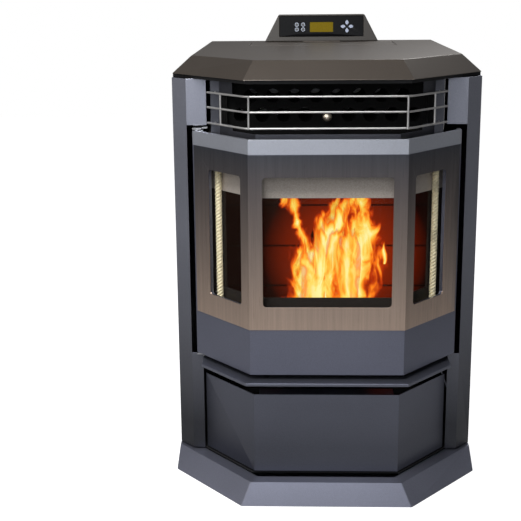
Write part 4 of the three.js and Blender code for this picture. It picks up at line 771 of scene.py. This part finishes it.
# %% [markdown]
# ## One sheet of flames
# Along a sheet, a place is how far it is from the pot's middle and how high it
# is. A slow noise first pushes it to the side, so that the flames sway. The heat
# there is how deep inside a tongue it lies, frayed by the fine noise, and it sets
# both the colour and how much the sheet covers.

# %% The finish of one sheet
HEAT_COLOURS = ((0.0, (0.30, 0.012, 0.001)), (0.22, (0.75, 0.055, 0.003)),
                (0.42, (1.0, 0.21, 0.010)), (0.62, (1.0, 0.50, 0.045)),
                (0.82, (1.0, 0.74, 0.14)), (1.0, (1.0, 0.90, 0.36)))
FLAMES_LOW, FLAMES_HIGH = 0.36, 0.56


def flame_finish(name, turn, shift, fullness, tongues):
    fire = Finish(name, (0.0, 0.0, 0.0), 1.0, Specular_IOR_Level=0.0)
    high = fire.along(2)
    side = (fire.along(0) * math.cos(turn)
            + (fire.along(1) - POT_MIDDLE_Y) * math.sin(turn))
    slow_place = fire.stretched((22.0, 22.0, 13.0), (shift, 0.0, 0.0))
    slow = fire.noise(1.0, 1.0, 0.5, slow_place)
    fine_place = fire.stretched((40.0, 40.0, 17.0), (0.0, shift, shift))
    fray = fire.noise(1.0, 3.0, 0.5, fine_place, distortion=1.3)
    height = fire.range(high, FLAMES_LOW, FLAMES_HIGH)
    bent = side + (slow - 0.5) * (height * 0.050 + 0.024)
    inside = -1.0
    for shape in tongues:
        inside = tongue(fire, bent, high, *shape).apply("MAXIMUM", inside)
    heat = inside * 0.80 + (fray - 0.5) * (height * 0.5 + 1.5) + 0.22 - height * 0.10
    fire.put("Emission Color", fire.node("ShaderNodeValToRGB", {"stops": HEAT_COLOURS},
                                         Fac=heat))
    fire.put("Emission Strength", 1.15)
    fire.put("Alpha", fire.range(heat, 0.0, 0.42, 0.0, fullness))
    finishes[name] = fire


# %% The three crossing sheets and their tongues
# Of a sheet: name, turn, shift of its noise, fullness.
# Of a tongue: foot, lowest point, height, half width, lean, curl.
SHEETS = (
    ("flames_front", 0.0, 0.0, 0.95,
     ((-0.064, 0.320, 0.215, 0.044, 0.046, 0.014), (-0.012, 0.400, 0.250, 0.020, -0.118, -0.008),
      (-0.026, 0.320, 0.250, 0.034, 0.014, -0.012), (0.004, 0.320, 0.340, 0.042, 0.036, -0.020),
      (0.036, 0.320, 0.370, 0.046, 0.072, 0.022), (0.052, 0.320, 0.200, 0.032, 0.014, 0.010),
      (0.110, 0.435, 0.055, 0.006, 0.006, 0.002))),
    ("flames_left", 0.70, 3.3, 0.80,
     ((-0.040, 0.320, 0.180, 0.036, -0.010, 0.012), (-0.006, 0.320, 0.300, 0.042, 0.020, -0.016),
      (0.036, 0.320, 0.260, 0.040, 0.030, 0.014))),
    ("flames_right", -0.70, 6.1, 0.80,
     ((-0.040, 0.320, 0.200, 0.036, 0.004, 0.012), (0.000, 0.320, 0.230, 0.038, 0.024, -0.012),
      (0.040, 0.320, 0.290, 0.038, 0.034, 0.014))),
)

# %% Make the sheets
SHEET_MIDDLE, SHEET_HALF_HEIGHT = 0.462, 0.132
FRONT_HALF_WIDTH, TURNED_HALF_WIDTH = 0.125, 0.085
WAVE = 0.004
for name, turn, shift, fullness, tongues in SHEETS:
    flame_finish(name, turn, shift, fullness, tongues)
    half = FRONT_HALF_WIDTH if turn == 0.0 else TURNED_HALF_WIDTH
    cosine, sine = math.cos(turn), math.sin(turn)
    shape = bmesh.new()
    bmesh.ops.create_grid(shape, x_segments=24, y_segments=24, size=1.0)
    for corner in shape.verts:
        side, high = corner.co.x * half, SHEET_MIDDLE + corner.co.y * SHEET_HALF_HEIGHT
        bow = WAVE * math.sin(high * 40.0 + side * 25.0)
        corner.co = Vector((side * cosine - bow * sine,
                            POT_MIDDLE_Y + side * sine + bow * cosine, high))
    finished(name, shape, name, "cabinet")
print("flame sheets:", len(SHEETS))

# %% [markdown]
# ## Burning pellets
# The pot holds a heap of wood pellets, six millimetres thick, which glow darker
# and brighter in patches. Each is a short rod that lies nearly level and points
# any way, from a seeded generator so that the heap is the same each time.

# %% Heap the pellets
PELLETS, PELLET_RADIUS = 90, 0.003
heap = random.Random(7)
ember = Finish("burning_pellet", (0.10, 0.045, 0.02), 0.9)
ash = ember.noise(70.0, 4.0, 0.7)
ember.put("Base Color", ember.mix(ash, (0.02, 0.015, 0.012), (0.30, 0.24, 0.19)))
ember.put("Emission Color", ember.mix(ash.over(0.5), (0.7, 0.06, 0.004), (1.0, 0.34, 0.05)))
ember.put("Emission Strength", 1.1)
ember.bump(ash, 0.5, 0.001)
finishes["burning_pellet"] = ember
shape = bmesh.new()
for number in range(PELLETS):
    spin = Matrix.Rotation(heap.uniform(0.0, math.pi), 4, "Z") @ Matrix.Rotation(
        heap.uniform(1.1, 2.0), 4, "X")
    spot = Vector((heap.uniform(-0.045, 0.045), POT_MIDDLE_Y + heap.uniform(-0.031, 0.031),
                   heap.uniform(0.303, 0.348)))
    bmesh.ops.create_cone(shape, cap_ends=True, segments=8,
                          radius1=PELLET_RADIUS, radius2=PELLET_RADIUS,
                          depth=heap.uniform(0.010, 0.018),
                          matrix=Matrix.Translation(spot) @ spin)
finished("burning_pellets", shape, "burning_pellet", "cabinet", smooth=False)
print("pellets in the pot:", PELLETS)

# %% [markdown]
# ## Floor, lamps and background
# The stove stands on a plain pale floor. A lamp above the front left lights the
# upper edges most, as in the photograph, one in front and one on the left fill
# the faces, and one behind shows the rear. The world adds a weak even light. By
# Light Path the camera sees white behind it all, which adds no light to the
# stove, and mirrors see a tenth of that white.

# %% Floor
JUST_UNDER = -0.0005
FLOOR_WHITE, MIRRORED_SHARE = 0.95, 0.10
floor_mesh = bpy.data.meshes.new("floor")
shape = bmesh.new()
bmesh.ops.create_grid(shape, x_segments=1, y_segments=1, size=6.0)
shape.to_mesh(floor_mesh)
shape.free()
floor = bpy.data.objects.new("floor", floor_mesh)
bpy.context.scene.collection.objects.link(floor)
floor_mesh.transform(Matrix.Translation((0.0, 0.0, JUST_UNDER)))
floor_finish = Finish("pale_floor", (0.35, 0.35, 0.35), 0.7)
speck = floor_finish.noise(3.0, 2.0)
floor_finish.put("Base Color", floor_finish.mix(speck, (0.33, 0.33, 0.33), (0.37, 0.37, 0.37)))
by_camera = floor_finish.node("ShaderNodeLightPath", out="Is Camera Ray")
floor_finish.put("Emission Color", (1.0, 1.0, 1.0, 1.0))
floor_finish.put("Emission Strength", by_camera * FLOOR_WHITE)
floor_mesh.materials.append(floor_finish.material)

# %% World and lamps
world = bpy.data.worlds.new("soft_room")
bpy.context.scene.world = world
world.use_nodes = True
tree = world.node_tree
tree.nodes.clear()
out = tree.nodes.new("ShaderNodeOutputWorld")
path = tree.nodes.new("ShaderNodeLightPath")
room = tree.nodes.new("ShaderNodeBackground")
white = tree.nodes.new("ShaderNodeBackground")
choose = tree.nodes.new("ShaderNodeMixShader")
room.inputs["Color"].default_value = (0.93, 0.95, 1.0, 1.0)
room.inputs["Strength"].default_value = 0.10
white.inputs["Color"].default_value = (1.0, 1.0, 1.0, 1.0)
white.inputs["Strength"].default_value = 1.0
seen = tree.nodes.new("ShaderNodeMath")
seen.operation = "MULTIPLY_ADD"
seen.inputs[1].default_value = MIRRORED_SHARE
tree.links.new(path.outputs["Is Glossy Ray"], seen.inputs[0])
tree.links.new(path.outputs["Is Camera Ray"], seen.inputs[2])
tree.links.new(seen.outputs[0], choose.inputs[0])
tree.links.new(room.outputs[0], choose.inputs[1])
tree.links.new(white.outputs[0], choose.inputs[2])
tree.links.new(choose.outputs[0], out.inputs[0])


def lamp(name, place, target, size, power, tint=(1.0, 1.0, 1.0)):
    """A square lamp of so many metres and watts that shines on a target."""
    data = bpy.data.lights.new(name, "AREA")
    data.size = size
    data.energy = power
    data.color = tint
    made = bpy.data.objects.new(name, data)
    bpy.context.scene.collection.objects.link(made)
    made.location = place
    aim = Vector(target) - Vector(place)
    made.rotation_euler = aim.to_track_quat("-Z", "Y").to_euler()


lamp("ceiling_lamp", (-0.55, -1.35, 2.15), (-0.05, -0.25, 0.7), 0.9, 46.0)
lamp("left_lamp", (-2.6, -1.2, 1.6), (-0.1, -0.1, 0.7), 1.2, 15.0, (1.0, 0.97, 0.95))
lamp("front_lamp", (-0.45, -3.6, 1.75), (0.0, -0.3, 0.7), 1.9, 34.0, (0.92, 0.95, 1.0))
lamp("rear_lamp", (0.9, 2.2, 3.0), (0.0, 0.4, 0.45), 1.0, 45.0)
